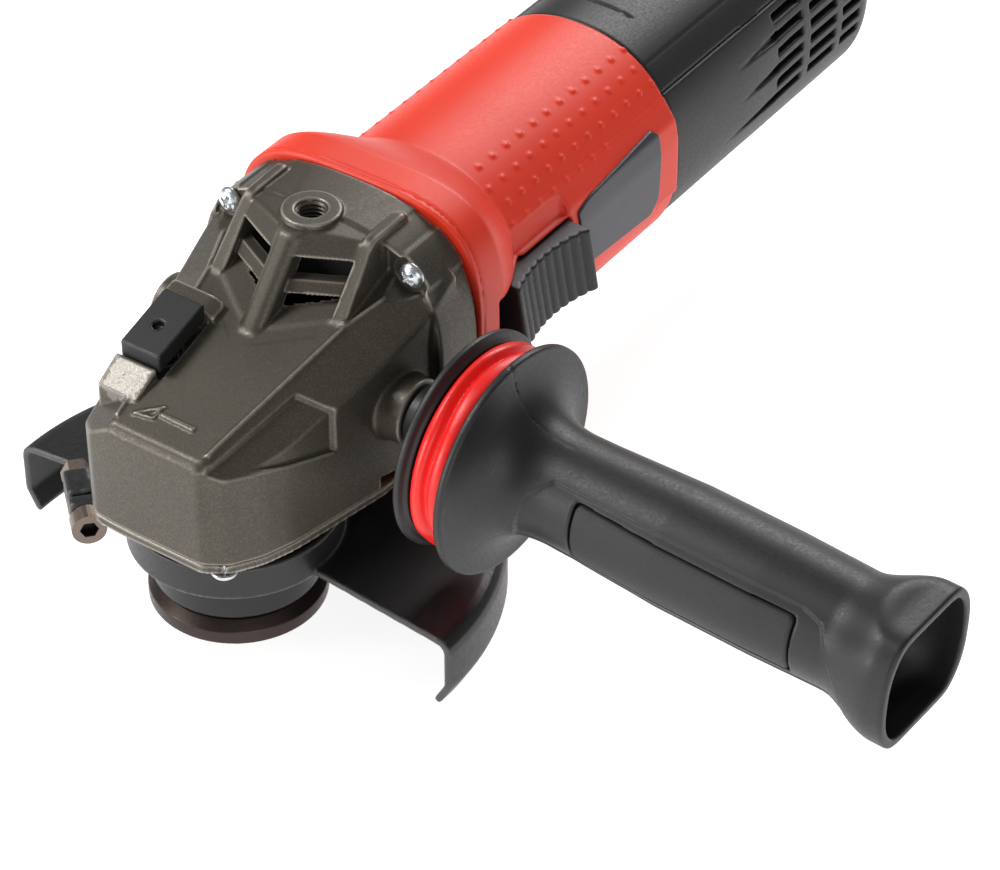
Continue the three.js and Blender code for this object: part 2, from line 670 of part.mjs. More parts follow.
function fan() {
  const profile = [[5.05, 60.5], [25.5, 60.5], [25.5, 62.2], [9, 63], [9, 75], [5.05, 75], [5.05, 60.5]];
  const back = turned(profile, "y", MOTOR, 28);
  const blades = range(8).map((i) =>
    hull(
      [61.5, 74].flatMap((y) => [
        V3(8.5, y, -0.8),
        V3(8.5, y, 0.8),
        V3(y > 70 ? 23.5 : 25.2, y, 4.4),
        V3(y > 70 ? 23.5 : 25.2, y, 5.8),
      ]),
    )
      .rotate([0, 45 * i, 0])
      .translate(MOTOR),
  );
  return join(back, ...blades);
}
put("fan", "black", fan());
// Copies of a slot cutter, evenly spaced about the motor axis.
const around = (count, cutter) =>
  range(count).map((i) => cutter.rotate([0, (i * 360) / count, 0]).translate(MOTOR));

function armatureCore() {
  const core = ring(5.05, ROTOR_R, STATOR_Y + 2, STATOR_END_Y - 2, "y", MOTOR, 30);
  return cut(core, ...around(12, box(ROTOR_R - 1.6, ROTOR_R + 1, 60, 160, -0.8, 0.8)));
}
put("armature_core", "iron", armatureCore());

function winding(from, to) {
  const middle = (from + to) / 2;
  const profile = [[5.05, from], [12, from], [15.6, middle], [15.6, to], [5.05, to], [5.05, from]];
  return turned(profile, "y", MOTOR, 30);
}
put("armature_winding_front", "copper", winding(STATOR_Y - 7, STATOR_Y + 1.7));
put("armature_winding_rear", "copper", winding(STATOR_END_Y - 1.7, 143));

function commutator() {
  const profile = [
    [5.1, 143.4], [12.4, 143.4], [12.4, 145], [11, 145.6], [11, 160],
    [5.05, 160], [5.05, 144], [5.1, 144], [5.1, 143.4],
  ];
  return cut(turned(profile, "y", MOTOR, 30), ...around(12, box(10.5, 13, 143, 161, -0.25, 0.25)));
}
put("commutator", "copper", commutator());

// An annular sector about the motor axis, between two angles and two values of Y.
function sector(r0, r1, from, to, y0, y1) {
  const arc = (r, a, b) =>
    range(13).map((i) => {
      const t = deg(a + ((b - a) * i) / 12);
      return [r * Math.cos(t), MOTOR_Z + r * Math.sin(t)];
    });
  return plate([...arc(r1, from, to), ...arc(r0, to, from)], y0, y1, "y");
}
function fieldCore() {
  const body = ring(ROTOR_R + 0.5, STATOR_R, STATOR_Y, STATOR_END_Y, "y", MOTOR, 30);
  const slots = [12, 142, 192, 322].map((a) => sector(ROTOR_R, 26, a, a + 26, 0, 200));
  return cut(body, ...slots);
}
put("field_core", "iron", fieldCore());
// A saddle coil: its sides lie in the core's slots and its ends arch over the rotor.
for (const [name, turn] of [
  ["field_coil_top", 0],
  ["field_coil_bottom", 180],
]) {
  const shell = sector(ROTOR_R + 0.8, 25.7, turn + 13, turn + 167, STATOR_Y - 6, STATOR_END_Y + 6);
  const pole = sector(ROTOR_R - 2, 30, turn + 37, turn + 143, STATOR_Y - 0.3, STATOR_END_Y + 0.3);
  put(name, "copper", cut(shell, pole));
}

// Brushes, their holders and springs, one set on each side of the commutator.
for (const [name, s] of [
  ["right", 1],
  ["left", -1],
]) {
  // A block on that side, centred on the brush: its two X, half its length along Y and half its height.
  const block = (near, far, along, tall) => {
    const [x0, x1] = s > 0 ? [near, far] : [-far, -near];
    return box(x0, x1, BRUSH_Y - along, BRUSH_Y + along, MOTOR_Z - tall, MOTOR_Z + tall);
  };
  put(`brush_holder_${name}`, "brass", cut(block(13, 28.4, 5, 6.2), block(12, 27, 3.3, 4.6)));
  put(`brush_${name}`, "carbon", block(11.25, 20.6, 3, 4.3));
  const coil = put(`brush_spring_${name}`, "steel", spring(2.2, 0.3, 5.9, 4));
  coil.rotation.y = (s * Math.PI) / 2;
  coil.position.set(20.85 * s, BRUSH_Y, MOTOR_Z);
}

put("rear_bearing", "steel", bearing(3.6, 9.5, 6, "y", [0, 168, MOTOR_Z]));
function rearBearingSleeve() {
  const profile = [
    [9.7, 167.6], [11.4, 167.6], [11.4, 175.6], [4.6, 175.6],
    [4.6, 174.3], [9.7, 174.3], [9.7, 167.6],
  ];
  return turned(profile, "y", MOTOR, 30);
}
put("rear_bearing_sleeve", "rubber", rearBearingSleeve());

function rearBearingBracket() {
  const profile = [
    [11.6, 163.6], [28, 163.6], [28, 166.6], [14.4, 166.6], [14.4, 178],
    [6, 178], [6, 176], [11.6, 176], [11.6, 163.6],
  ];
  const openings = [45, 135, 225, 315].map((turn) =>
    box(16.5, 26, 150, 190, -6, 6).rotate([0, turn, 0]).translate(MOTOR),
  );
  return cut(turned(profile, "y", MOTOR, 28), ...openings);
}
put("rear_bearing_bracket", "black", rearBearingBracket());

// ---------------------------------------------------------------- slide switch
function switchKnob() {
  // Plan outline of a thumb rest that dips in the middle, with corrugations across it.
  const { y0, y1, z0, z1, x0 } = SWITCH;
  const count = 24;
  const edge = range(count + 1).map((i) => {
    const t = i / count;
    const ripple = i % 3 === 0 ? -0.75 : 0.35;
    return [39.2 + 3.4 * (2 * t - 1) ** 2 + ripple, y0 + 0.3 + t * (y1 - y0 - 0.6)];
  });
  const body = plate([[x0, y0], [38, y0], ...edge, [38, y1], [x0, y1]], z0, z1);
  // Its outer face leans in towards the top.
  const lean = [
    [60, 60],
    [60, 81],
    [40.4, 81],
    [44.2, 60],
  ];
  return cut(body, hull(lean.flatMap(([x, z]) => [V3(x, 50, z), V3(x, 130, z)])));
}
put("switch_knob", "black", switchKnob());
put("switch_rod", "black", box(28.8, 30, 78, 188, MOTOR_Z - 4, MOTOR_Z + 4));
put("switch_body", "black", join(box(5, 24, 182, 212, 54, 80), box(23, 27.6, 190.5, 198, 63, 71)));

// ---------------------------------------------------------------- rear cover
function rearCover() {
  const outer = loft([
    [BARREL, -0.3, COVER_Y + 0.3],
    [BARREL, -0.5, 200],
    [TAIL, 0, 232],
    [TAIL, 0, 268],
    [TAIL, -5, REAR_Y],
  ]);
  const inner = loft([
    [BARREL, -WALL - 0.3, COVER_Y - 1],
    [BARREL, -WALL - 0.5, 200],
    [TAIL, -WALL, 232],
    [TAIL, -WALL, 266],
    [TAIL, -WALL - 4, REAR_Y - 3],
  ]);
  const inlet = rod(9.5, REAR_Y - 4, REAR_Y + 4, "y", CORD, 28);
  let shell = join(cut(outer, inner), cut(inlet, inner));
  shell = cut(shell, rod(5, 240, REAR_Y + 10, "y", CORD, 24));
  // Three columns of cooling slots on each side.
  for (const [y0, y1, rows] of [
    [217, 232, 6],
    [236, 251, 6],
    [254.5, 265, 6],
  ]) {
    for (const row of range(rows)) {
      const z = 57 + row * 5.2;
      shell = cut(shell, box(-60, 60, y0, y1, z, z + 2.6));
    }
  }
  return shell;
}
const cover = rearCover();
const halfSpace = (z0, z1) => box(-80, 80, 100, 320, z0, z1);
put("rear_cover_top", "black", cover.intersect(halfSpace(COVER_SPLIT_Z + 0.15, 200)));
put("rear_cover_bottom", "black", cover.intersect(halfSpace(-50, COVER_SPLIT_Z - 0.15)));
put("cord_clamp", "black", cut(box(-12, 12, 244, 252, 48, 54.6), rod(4.6, 240, 260, "y", CORD)));

// ---------------------------------------------------------------- side handle
// It is built along its own X, from the boss outwards.
const handle = new THREE.Group();
handle.position.set(...HANDLE_AXIS.at);
handle.rotation.set(0, HANDLE_AXIS.pitch, HANDLE_AXIS.yaw, "ZYX");
root.add(handle);
const HANDLE_END = 153;
const GRIP_END = { a: 19.8, n: 2.6, flat: 17.6 };
// The grip's section at a distance along it: round, then flared with flats above and below.
function gripSection(x, r, flare, inset = 0) {
  const blend = (round, flared) => round + (flared - round) * flare;
  const power = 2 / blend(2, GRIP_END.n);
  const radius = blend(r, GRIP_END.a) - inset;
  const limit = blend(r + 8, GRIP_END.flat) - inset;
  return range(24).map((i) => {
    const t = ((i + 0.5) / 24) * 2 * Math.PI;
    const [c, s] = [Math.cos(t), Math.sin(t)];
    const wide = radius * Math.sign(c) * Math.abs(c) ** power;
    const tall = radius * Math.sign(s) * Math.abs(s) ** power;
    return V3(x, wide, Math.max(-limit, Math.min(limit, tall)));
  });
}
function handleGrip() {
  const flangeProfile = [
    [0, 28], [26, 28], [32, 28.6], [32, 30.2], [26, 31.6], [20, 34.4], [16.6, 39], [15, 46], [0, 46],
  ];
  // Sections of the grip: distance along it, radius and share of the flare.
  const stations = [
    [45, 15, 0],
    [56, 15.4, 0],
    [82, 16.6, 0],
    [110, 16.6, 0],
    [134, 16, 0],
    [148, 16, 0.85],
    [HANDLE_END, 16, 1],
  ];
  const grip = range(stations.length - 1).map((i) =>
    hull([...gripSection(...stations[i]), ...gripSection(...stations[i + 1])]),
  );
  const bore = turned([[0, 20], [4.3, 20], [4.3, 62], [9, 62], [9, 131], [0, 131]], "x", ORIGIN, 24);
  const mouth = hull([...gripSection(130, 12.8, 0), ...gripSection(HANDLE_END + 1, 16, 1, 2.4)]);
  return cut(join(turned(flangeProfile, "x", ORIGIN, 32), ...grip), bore, mouth, insert(0.5, 15.2));
}
// The soft pad let into the grip's front.
function insert(grow, floor) {
  const block = box(58 - grow, 123 + grow, -24, 0, -8 - grow, 9.5 + grow).rotate([-6, 0, 0]);
  const skin = join(
    hull([...gripSection(52, 15.7, 0), ...gripSection(82, 17, 0)]),
    hull([...gripSection(82, 17, 0), ...gripSection(126, 17, 0)]),
  );
  return cut(block.intersect(skin), rod(floor, 40, 130, "x", ORIGIN, 28));
}
put("handle_grip", "black", handleGrip(), handle);
put("handle_pad", "rubber", insert(0, 15.4), handle);

function handleInnerFlange() {
  const profile = [
    [4.3, 0.3], [8.4, 0.3], [9, 9], [11, 12.6], [28.8, 13.6], [30, 14.4],
    [30, 15.8], [28, 16.2], [27.6, 17.2], [4.3, 17.2], [4.3, 0.3],
  ];
  return turned(profile, "x", ORIGIN, 32);
}
put("handle_inner_flange", "black", handleInnerFlange(), handle);

function handleDamper() {
  const profile = [
    [4.6, 17.5], [26.8, 17.5], [28.6, 18.6], [28.6, 20.4], [26.8, 22.4],
    [28, 24], [28, 25.8], [26.6, 27.7], [4.6, 27.7], [4.6, 17.5],
  ];
  return turned(profile, "x", ORIGIN, 32);
}
put("handle_damper", "damper", handleDamper(), handle);

const studHead = plate(hexagon(6.8), 62.4, 67.6, "x");
put("handle_stud", "zinc", join(rod(3.95, -15, 62.5, "x", ORIGIN), studHead), handle);

export default root;
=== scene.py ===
# Angle grinder: the looks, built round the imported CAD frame. Lengths in the shape code are millimetres.
import math

import bpy
import numpy as np
from mathutils import Matrix, Vector


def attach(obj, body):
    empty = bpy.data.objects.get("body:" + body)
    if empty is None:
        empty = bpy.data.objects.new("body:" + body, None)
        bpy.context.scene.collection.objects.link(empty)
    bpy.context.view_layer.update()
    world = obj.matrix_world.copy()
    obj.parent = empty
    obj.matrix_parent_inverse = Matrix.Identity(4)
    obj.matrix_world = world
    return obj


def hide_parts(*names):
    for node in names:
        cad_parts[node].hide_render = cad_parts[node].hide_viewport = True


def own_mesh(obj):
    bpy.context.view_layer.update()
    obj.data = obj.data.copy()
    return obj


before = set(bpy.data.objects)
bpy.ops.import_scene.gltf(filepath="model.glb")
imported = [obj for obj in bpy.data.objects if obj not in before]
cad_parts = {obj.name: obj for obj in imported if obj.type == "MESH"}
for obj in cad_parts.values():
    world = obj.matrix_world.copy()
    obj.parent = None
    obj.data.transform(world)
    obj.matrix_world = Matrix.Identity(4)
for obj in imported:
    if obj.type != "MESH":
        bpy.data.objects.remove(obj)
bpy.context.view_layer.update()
SCENE = bpy.context.scene
SCENE.view_settings.view_transform = "Standard"
FINE = 0.6  # cell size of the carved surfaces


# ---------------------------------------------------------------- camera, lights, floor
def add_camera():
    forward = Vector((-0.4451, 0.6387, -0.6277)).normalized()
    up = Vector((-0.3588, 0.5150, 0.7785))
    right = forward.cross(up).normalized()
    up = right.cross(forward)
    place = Vector((0.4792, -0.5654, 0.6547))
    camera = bpy.data.objects.new("camera", bpy.data.cameras.new("camera"))
    camera.matrix_world = Matrix(
        [(right[i], up[i], -forward[i], place[i]) for i in range(3)] + [(0, 0, 0, 1)]
    )
    camera.data.sensor_width = 36
    camera.data.lens = 131.6
    camera.data.clip_start = 0.02
    SCENE.collection.objects.link(camera)
    SCENE.camera = camera


def add_light(name, place, aim, size, power, tint=(1, 1, 1)):
    data = bpy.data.lights.new(name, "AREA")
    data.shape = "RECTANGLE"
    data.size, data.size_y = size
    data.energy = power
    data.color = tint
    lamp = bpy.data.objects.new(name, data)
    lamp.location = place
    lamp.rotation_euler = (Vector(aim) - Vector(place)).to_track_quat("-Z", "Y").to_euler()
    SCENE.collection.objects.link(lamp)


def add_studio():
    world = bpy.data.worlds.new("studio")
    SCENE.world = world
    world.use_nodes = True
    world.node_tree.nodes["Background"].inputs["Color"].default_value = (1, 1, 1, 1)
    world.node_tree.nodes["Background"].inputs["Strength"].default_value = 0.2
    add_light("key", (-0.75, -0.35, 1.05), (0.05, 0.06, 0.07), (0.5, 0.5), 11)
    add_light("fill", (0.95, -0.75, 0.35), (0.05, 0.06, 0.07), (0.9, 0.5), 3.5)
    add_light("front", (-0.75, -1.0, 0.3), (0.0, 0.0, 0.06), (0.5, 0.5), 7)
    add_light("back", (-0.2, 1.0, 0.75), (0.0, 0.1, 0.07), (0.7, 0.3), 7)
    bpy.ops.mesh.primitive_plane_add(size=12, location=(0, 0, -0.0006))
    floor = bpy.context.object
    floor.name = "floor"
    floor.data.materials.append(material("floor", (0.6, 0.6, 0.6), 0.9, glow=0.85))


# ---------------------------------------------------------------- materials
def node(tree, kind, **values):
    made = tree.nodes.new("ShaderNode" + kind)
    for key, value in values.items():
        if key in made.inputs:
            made.inputs[key].default_value = value
        else:
            setattr(made, key, value)
    return made


def ramp(tree, source, stops):
    """A colour ramp over a value: stops are (position, grey or colour)."""
    made = tree.nodes.new("ShaderNodeValToRGB")
    elements = made.color_ramp.elements
    while len(elements) < len(stops):
        elements.new(0.5)
    for element, (place, value) in zip(elements, stops):
        colour = value if isinstance(value, tuple) else (value,) * 3
        element.position = place
        element.color = (*colour, 1)
    tree.links.new(source, made.inputs[0])
    return made.outputs[0]


def mixed(tree, share, low, high, blend="MIX"):
    """low and high are colours or sockets, mixed by a share that is a number or a socket."""
    made = tree.nodes.new("ShaderNodeMix")
    made.data_type, made.blend_type = "RGBA", blend
    for socket, value in ((made.inputs[0], share), (made.inputs[6], low), (made.inputs[7], high)):
        if isinstance(value, bpy.types.NodeSocket):
            tree.links.new(value, socket)
        else:
            socket.default_value = (*value, 1) if isinstance(value, tuple) else value
    return made.outputs[2]


def material(name, colour, rough, metal=0.0, glow=0.0):
    """A bare Principled material, which the makers below build on."""
    made = bpy.data.materials.new(name)
    made.use_nodes = True
    surface = made.node_tree.nodes["Principled BSDF"]
    surface.inputs["Base Color"].default_value = (*colour, 1)
    surface.inputs["Roughness"].default_value = rough
    surface.inputs["Metallic"].default_value = metal
    if glow:
        surface.inputs["Emission Color"].default_value = (1, 1, 1, 1)
        surface.inputs["Emission Strength"].default_value = glow
    return made


def textured(name, colour, rough, metal=0.0, grain=(1400, 0.25, 0.04), blotch=0.12, worn=None):
    """Colour that drifts a little, roughness that varies, a fine grain as bump, and optionally worn edges.

    grain is (cells per metre, bump strength, depth in mm); worn is (colour, amount).
    """
    made = material(name, colour, rough, metal)
    tree = made.node_tree
    surface = tree.nodes["Principled BSDF"]
    place = tree.nodes.new("ShaderNodeTexCoord").outputs["Object"]
    broad = node(tree, "TexNoise", Scale=35.0, Detail=4.0)
    fine = node(tree, "TexNoise", Scale=float(grain[0]), Detail=3.0)
    for texture in (broad, fine):
        tree.links.new(place, texture.inputs["Vector"])
    dark = tuple(c * (1 - blotch) for c in colour)
    light = tuple(min(1, c * (1 + blotch)) for c in colour)
    tone = ramp(tree, broad.outputs[0], [(0.3, dark), (0.7, light)])
    if worn:
        edges = node(tree, "NewGeometry").outputs["Pointiness"]
        share = ramp(tree, edges, [(0.515, 0.0), (0.56, worn[1])])
        tone = mixed(tree, share, tone, worn[0])
    tree.links.new(tone, surface.inputs["Base Color"])
    low, high = max(0.02, rough - 0.06), min(1, rough + 0.07)
    sheen = ramp(tree, fine.outputs[0], [(0.3, low), (0.7, high)])
    tree.links.new(sheen, surface.inputs["Roughness"])
    bump = node(tree, "Bump", Strength=grain[1], Distance=grain[2] * 0.001)
    tree.links.new(fine.outputs[0], bump.inputs["Height"])
    tree.links.new(bump.outputs[0], surface.inputs["Normal"])
    return made


def cast_paint(name):
    """Metallic paint on a die casting: fine flakes, convex edges painted lighter as wear and as a painted
    edge highlight, and bare metal on the lock's ramp.
    """
    made = material(name, (0.07, 0.061, 0.047), 0.4, 0.45)
    tree = made.node_tree
    surface = tree.nodes["Principled BSDF"]
    place = tree.nodes.new("ShaderNodeTexCoord").outputs["Object"]
    flakes = node(tree, "TexVoronoi", Scale=3400.0)
    peel = node(tree, "TexNoise", Scale=700.0, Detail=4.0)
    broad = node(tree, "TexNoise", Scale=28.0, Detail=5.0)
    rub = node(tree, "TexNoise", Scale=420.0, Detail=3.0)
    for texture in (flakes, peel, broad, rub):
        tree.links.new(place, texture.inputs["Vector"])
    base = ramp(tree, broad.outputs[0], [(0.3, (0.064, 0.056, 0.043)), (0.7, (0.082, 0.071, 0.055))])
    glint = ramp(tree, flakes.outputs["Color"], [(0.5, 0.0), (1.0, 0.3)])
    tone = mixed(tree, glint, base, (0.24, 0.215, 0.175))
    # Convex edges painted lighter: partly wear, partly a painted highlight for edges that catch the light.
    edges = node(tree, "NewGeometry").outputs["Pointiness"]
    tone = mixed(tree, ramp(tree, edges, [(0.512, 0.0), (0.575, 0.8)]), tone, (0.5, 0.46, 0.4))
    # Bare metal inside a box round the ramp, with a ragged border.
    split = node(tree, "SeparateXYZ")
    tree.links.new(place, split.inputs[0])
    share = rub.outputs[0]
    for axis, middle, half in (("X", -0.0185, 0.0066), ("Y", -0.0172, 0.0046), ("Z", 0.0815, 0.006)):
        away = node(tree, "Math", operation="SUBTRACT")
        tree.links.new(split.outputs[axis], away.inputs[0])
        away.inputs[1].default_value = middle
        size = node(tree, "Math", operation="ABSOLUTE")
        tree.links.new(away.outputs[0], size.inputs[0])
        near = ramp(tree, size.outputs[0], [(half - 0.0004, 1.0), (half + 0.0004, 0.0)])
        share = mixed(tree, 1.0, share, near, "MULTIPLY")
    share = ramp(tree, share, [(0.3, 0.0), (0.36, 1.0)])
    tree.links.new(mixed(tree, share, tone, (0.22, 0.205, 0.18)), surface.inputs["Base Color"])
    sheen = ramp(tree, flakes.outputs["Color"], [(0.2, 0.46), (0.9, 0.34)])
    tree.links.new(sheen, surface.inputs["Roughness"])
    bump = node(tree, "Bump", Strength=0.22, Distance=0.00004)
    tree.links.new(peel.outputs[0], bump.inputs["Height"])
    tree.links.new(bump.outputs[0], surface.inputs["Normal"])
    return made


def turned_steel(name, colour, rough, axis):
    """Turned or ground metal: fine rings across the axis it was turned about."""
    made = material(name, colour, rough, 1.0)
    tree = made.node_tree
    surface = tree.nodes["Principled BSDF"]
    place = tree.nodes.new("ShaderNodeTexCoord").outputs["Object"]
    stretch = node(tree, "Mapping")
    stretch.inputs["Scale"].default_value = tuple(2600 if a == axis else 60 for a in "xyz")
    tree.links.new(place, stretch.inputs["Vector"])
    lines = node(tree, "TexNoise", Scale=1.0, Detail=3.0)
    tree.links.new(stretch.outputs[0], lines.inputs["Vector"])
    tree.links.new(
        ramp(tree, lines.outputs[0], [(0.3, tuple(c * 0.8 for c in colour)), (0.7, colour)]),
        surface.inputs["Base Color"],
    )
    tree.links.new(
        ramp(tree, lines.outputs[0], [(0.3, rough * 0.7), (0.7, min(1, rough * 1.4))]),
        surface.inputs["Roughness"],
    )
    bump = node(tree, "Bump", Strength=0.15, Distance=0.00003)
    tree.links.new(lines.outputs[0], bump.inputs["Height"])
    tree.links.new(bump.outputs[0], surface.inputs["Normal"])
    return made


LOOKS = {
    "cast": cast_paint("cast_paint"),
    "red": textured("red_plastic", (0.82, 0.04, 0.012), 0.45, grain=(1500, 0.2, 0.03), blotch=0.03),
    "black": textured("black_plastic", (0.011, 0.011, 0.0115), 0.46, grain=(1300, 0.4, 0.05)),
    "rubber": textured("soft_inlay", (0.017, 0.0155, 0.0165), 0.58, grain=(2000, 0.3, 0.03)),
    "damper": textured(
        "damper_rubber", (0.86, 0.014, 0.01), 0.36, grain=(300, 0.1, 0.05), blotch=0.05
    ),
    "guard": textured(
        "guard_paint", (0.011, 0.011, 0.012), 0.4, grain=(900, 0.15, 0.02), worn=((0.2, 0.19, 0.18), 0.3)
    ),
    "oxide": textured(
        "black_oxide", (0.05, 0.036, 0.032), 0.38, metal=0.85, grain=(900, 0.3, 0.03),
        worn=((0.3, 0.24, 0.2), 0.6),
    ),
    "neck": textured(
        "neck_paint", (0.014, 0.0135, 0.0145), 0.34, metal=0.3, grain=(900, 0.25, 0.03)
    ),
    "zinc": textured(
        "bright_zinc", (0.66, 0.69, 0.71), 0.3, metal=1.0, grain=(700, 0.1, 0.01), blotch=0.06
    ),
    "steel_z": turned_steel("ground_steel_z", (0.6, 0.6, 0.61), 0.3, "z"),
    "steel_y": turned_steel("ground_steel_y", (0.6, 0.6, 0.61), 0.3, "y"),
    "spring": textured("spring_steel", (0.5, 0.5, 0.52), 0.28, metal=1.0, grain=(2400, 0.2, 0.02)),
    "iron": textured("laminated_iron", (0.2, 0.2, 0.21), 0.5, metal=0.8, grain=(900, 0.5, 0.05)),
    "copper": textured(
        "enamelled_copper", (0.5, 0.17, 0.05), 0.35, metal=0.7, grain=(1600, 0.9, 0.1), blotch=0.3
    ),
    "brass": textured("stamped_brass", (0.6, 0.42, 0.16), 0.35, metal=1.0, grain=(900, 0.3, 0.03)),
    "carbon": textured("carbon", (0.02, 0.02, 0.02), 0.8, grain=(1500, 0.5, 0.05)),
    "badge": textured("badge_plastic", (0.045, 0.042, 0.055), 0.36, grain=(1800, 0.15, 0.02)),
    "knob": textured("knob_plastic", (0.017, 0.016, 0.019), 0.46, grain=(1500, 0.35, 0.04)),
    "gasket": textured(
        "gasket_paper", (0.14, 0.055, 0.018), 0.7, grain=(900, 0.4, 0.04), blotch=0.3
    ),
}
CAD_LOOKS = {
    "cast": ["gear_housing", "bearing_flange"],
    "red": ["motor_housing"],
    "black": [
        "fan", "rear_bearing_bracket", "switch_rod", "switch_body", "rear_cover_top", "rear_cover_bottom",
        "cord_clamp", "handle_grip", "handle_inner_flange", "lock_button",
    ],
    "rubber": ["rear_bearing_sleeve", "handle_pad"],
    "damper": ["handle_damper"],
    "guard": ["guard"],
    "oxide": ["inner_flange", "lock_nut", "guard_clamp_screw", "guard_clamp_nut"],
    "zinc": [f"{kind}_screw_{i}" for kind in ("flange", "housing") for i in (1, 2, 3, 4)] + ["handle_stud"],
    "steel_z": [
        "crown_gear", "spindle", "spindle_bearing", "bearing_retainer", "needle_bearing", "lock_pin",
        "lock_spring",
    ],
    "steel_y": [
        "pinion", "front_bearing", "armature_shaft", "rear_bearing", "brush_spring_right",
        "brush_spring_left",
    ],
    "iron": ["front_bearing_plate", "armature_core", "field_core"],
    "copper": [
        "armature_winding_front", "armature_winding_rear", "commutator", "field_coil_top",
        "field_coil_bottom",
    ],
    "brass": ["brush_holder_right", "brush_holder_left"],
    "carbon": ["brush_right", "brush_left"],
    "badge": ["badge"],
    "knob": ["switch_knob"],
}
for look, names in CAD_LOOKS.items():
    for name in names:
        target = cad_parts[name]
        target.data.materials.clear()
        target.data.materials.append(LOOKS[look])


# ---------------------------------------------------------------- carved surfaces
# A shape is a function of x, y, z arrays that gives the distance to its skin, negative inside. Shapes are
# joined and cut with rounded fillets, then skinned: one vertex per cell that the skin crosses, moved onto it,
# and joined by quads.
def soft_min(a, b, k):
    h = np.maximum(k - np.abs(a - b), 0) / k
    return np.minimum(a, b) - h * h * k * 0.25


def soft_max(a, b, k):
    return -soft_min(-a, -b, k)


def carve(body, tool, k=0.8):
    return soft_max(body, -tool, k)


def brick(x, y, z, xs, ys, zs, r=0.5):
    q = [np.abs(c - (a + b) / 2) - (b - a) / 2 + r for c, (a, b) in ((x, xs), (y, ys), (z, zs))]
    outside = np.sqrt(sum(np.maximum(v, 0) ** 2 for v in q))
    return outside + np.minimum(np.maximum(np.maximum(q[0], q[1]), q[2]), 0) - r


def drum(u, v, w, radius, low, high, k=0.6):
    """A cylinder of that radius about the axis w."""
    return soft_max(np.hypot(u, v) - radius, np.abs(w - (low + high) / 2) - (high - low) / 2, k)


def prism(u, v, points, k=0.4):
    """A convex outline, its corners in anticlockwise order."""
    result = None
    for (u0, v0), (u1, v1) in zip(points, points[1:] + points[:1]):
        size = math.hypot(u1 - u0, v1 - v0)
        side = ((v1 - v0) * (u - u0) - (u1 - u0) * (v - v0)) / size
        result = side if result is None else soft_max(result, side, k)
    return result


def polyline(u, v, points):
    best = None
    for (u0, v0), (u1, v1) in zip(points, points[1:]):
        du, dv = u1 - u0, v1 - v0
        t = np.clip(((u - u0) * du + (v - v0) * dv) / (du * du + dv * dv), 0, 1)
        near = np.hypot(u - u0 - t * du, v - v0 - t * dv)
        best = near if best is None else np.minimum(best, near)
    return best


def slab(w, low, high):
    return np.abs(w - (low + high) / 2) - (high - low) / 2


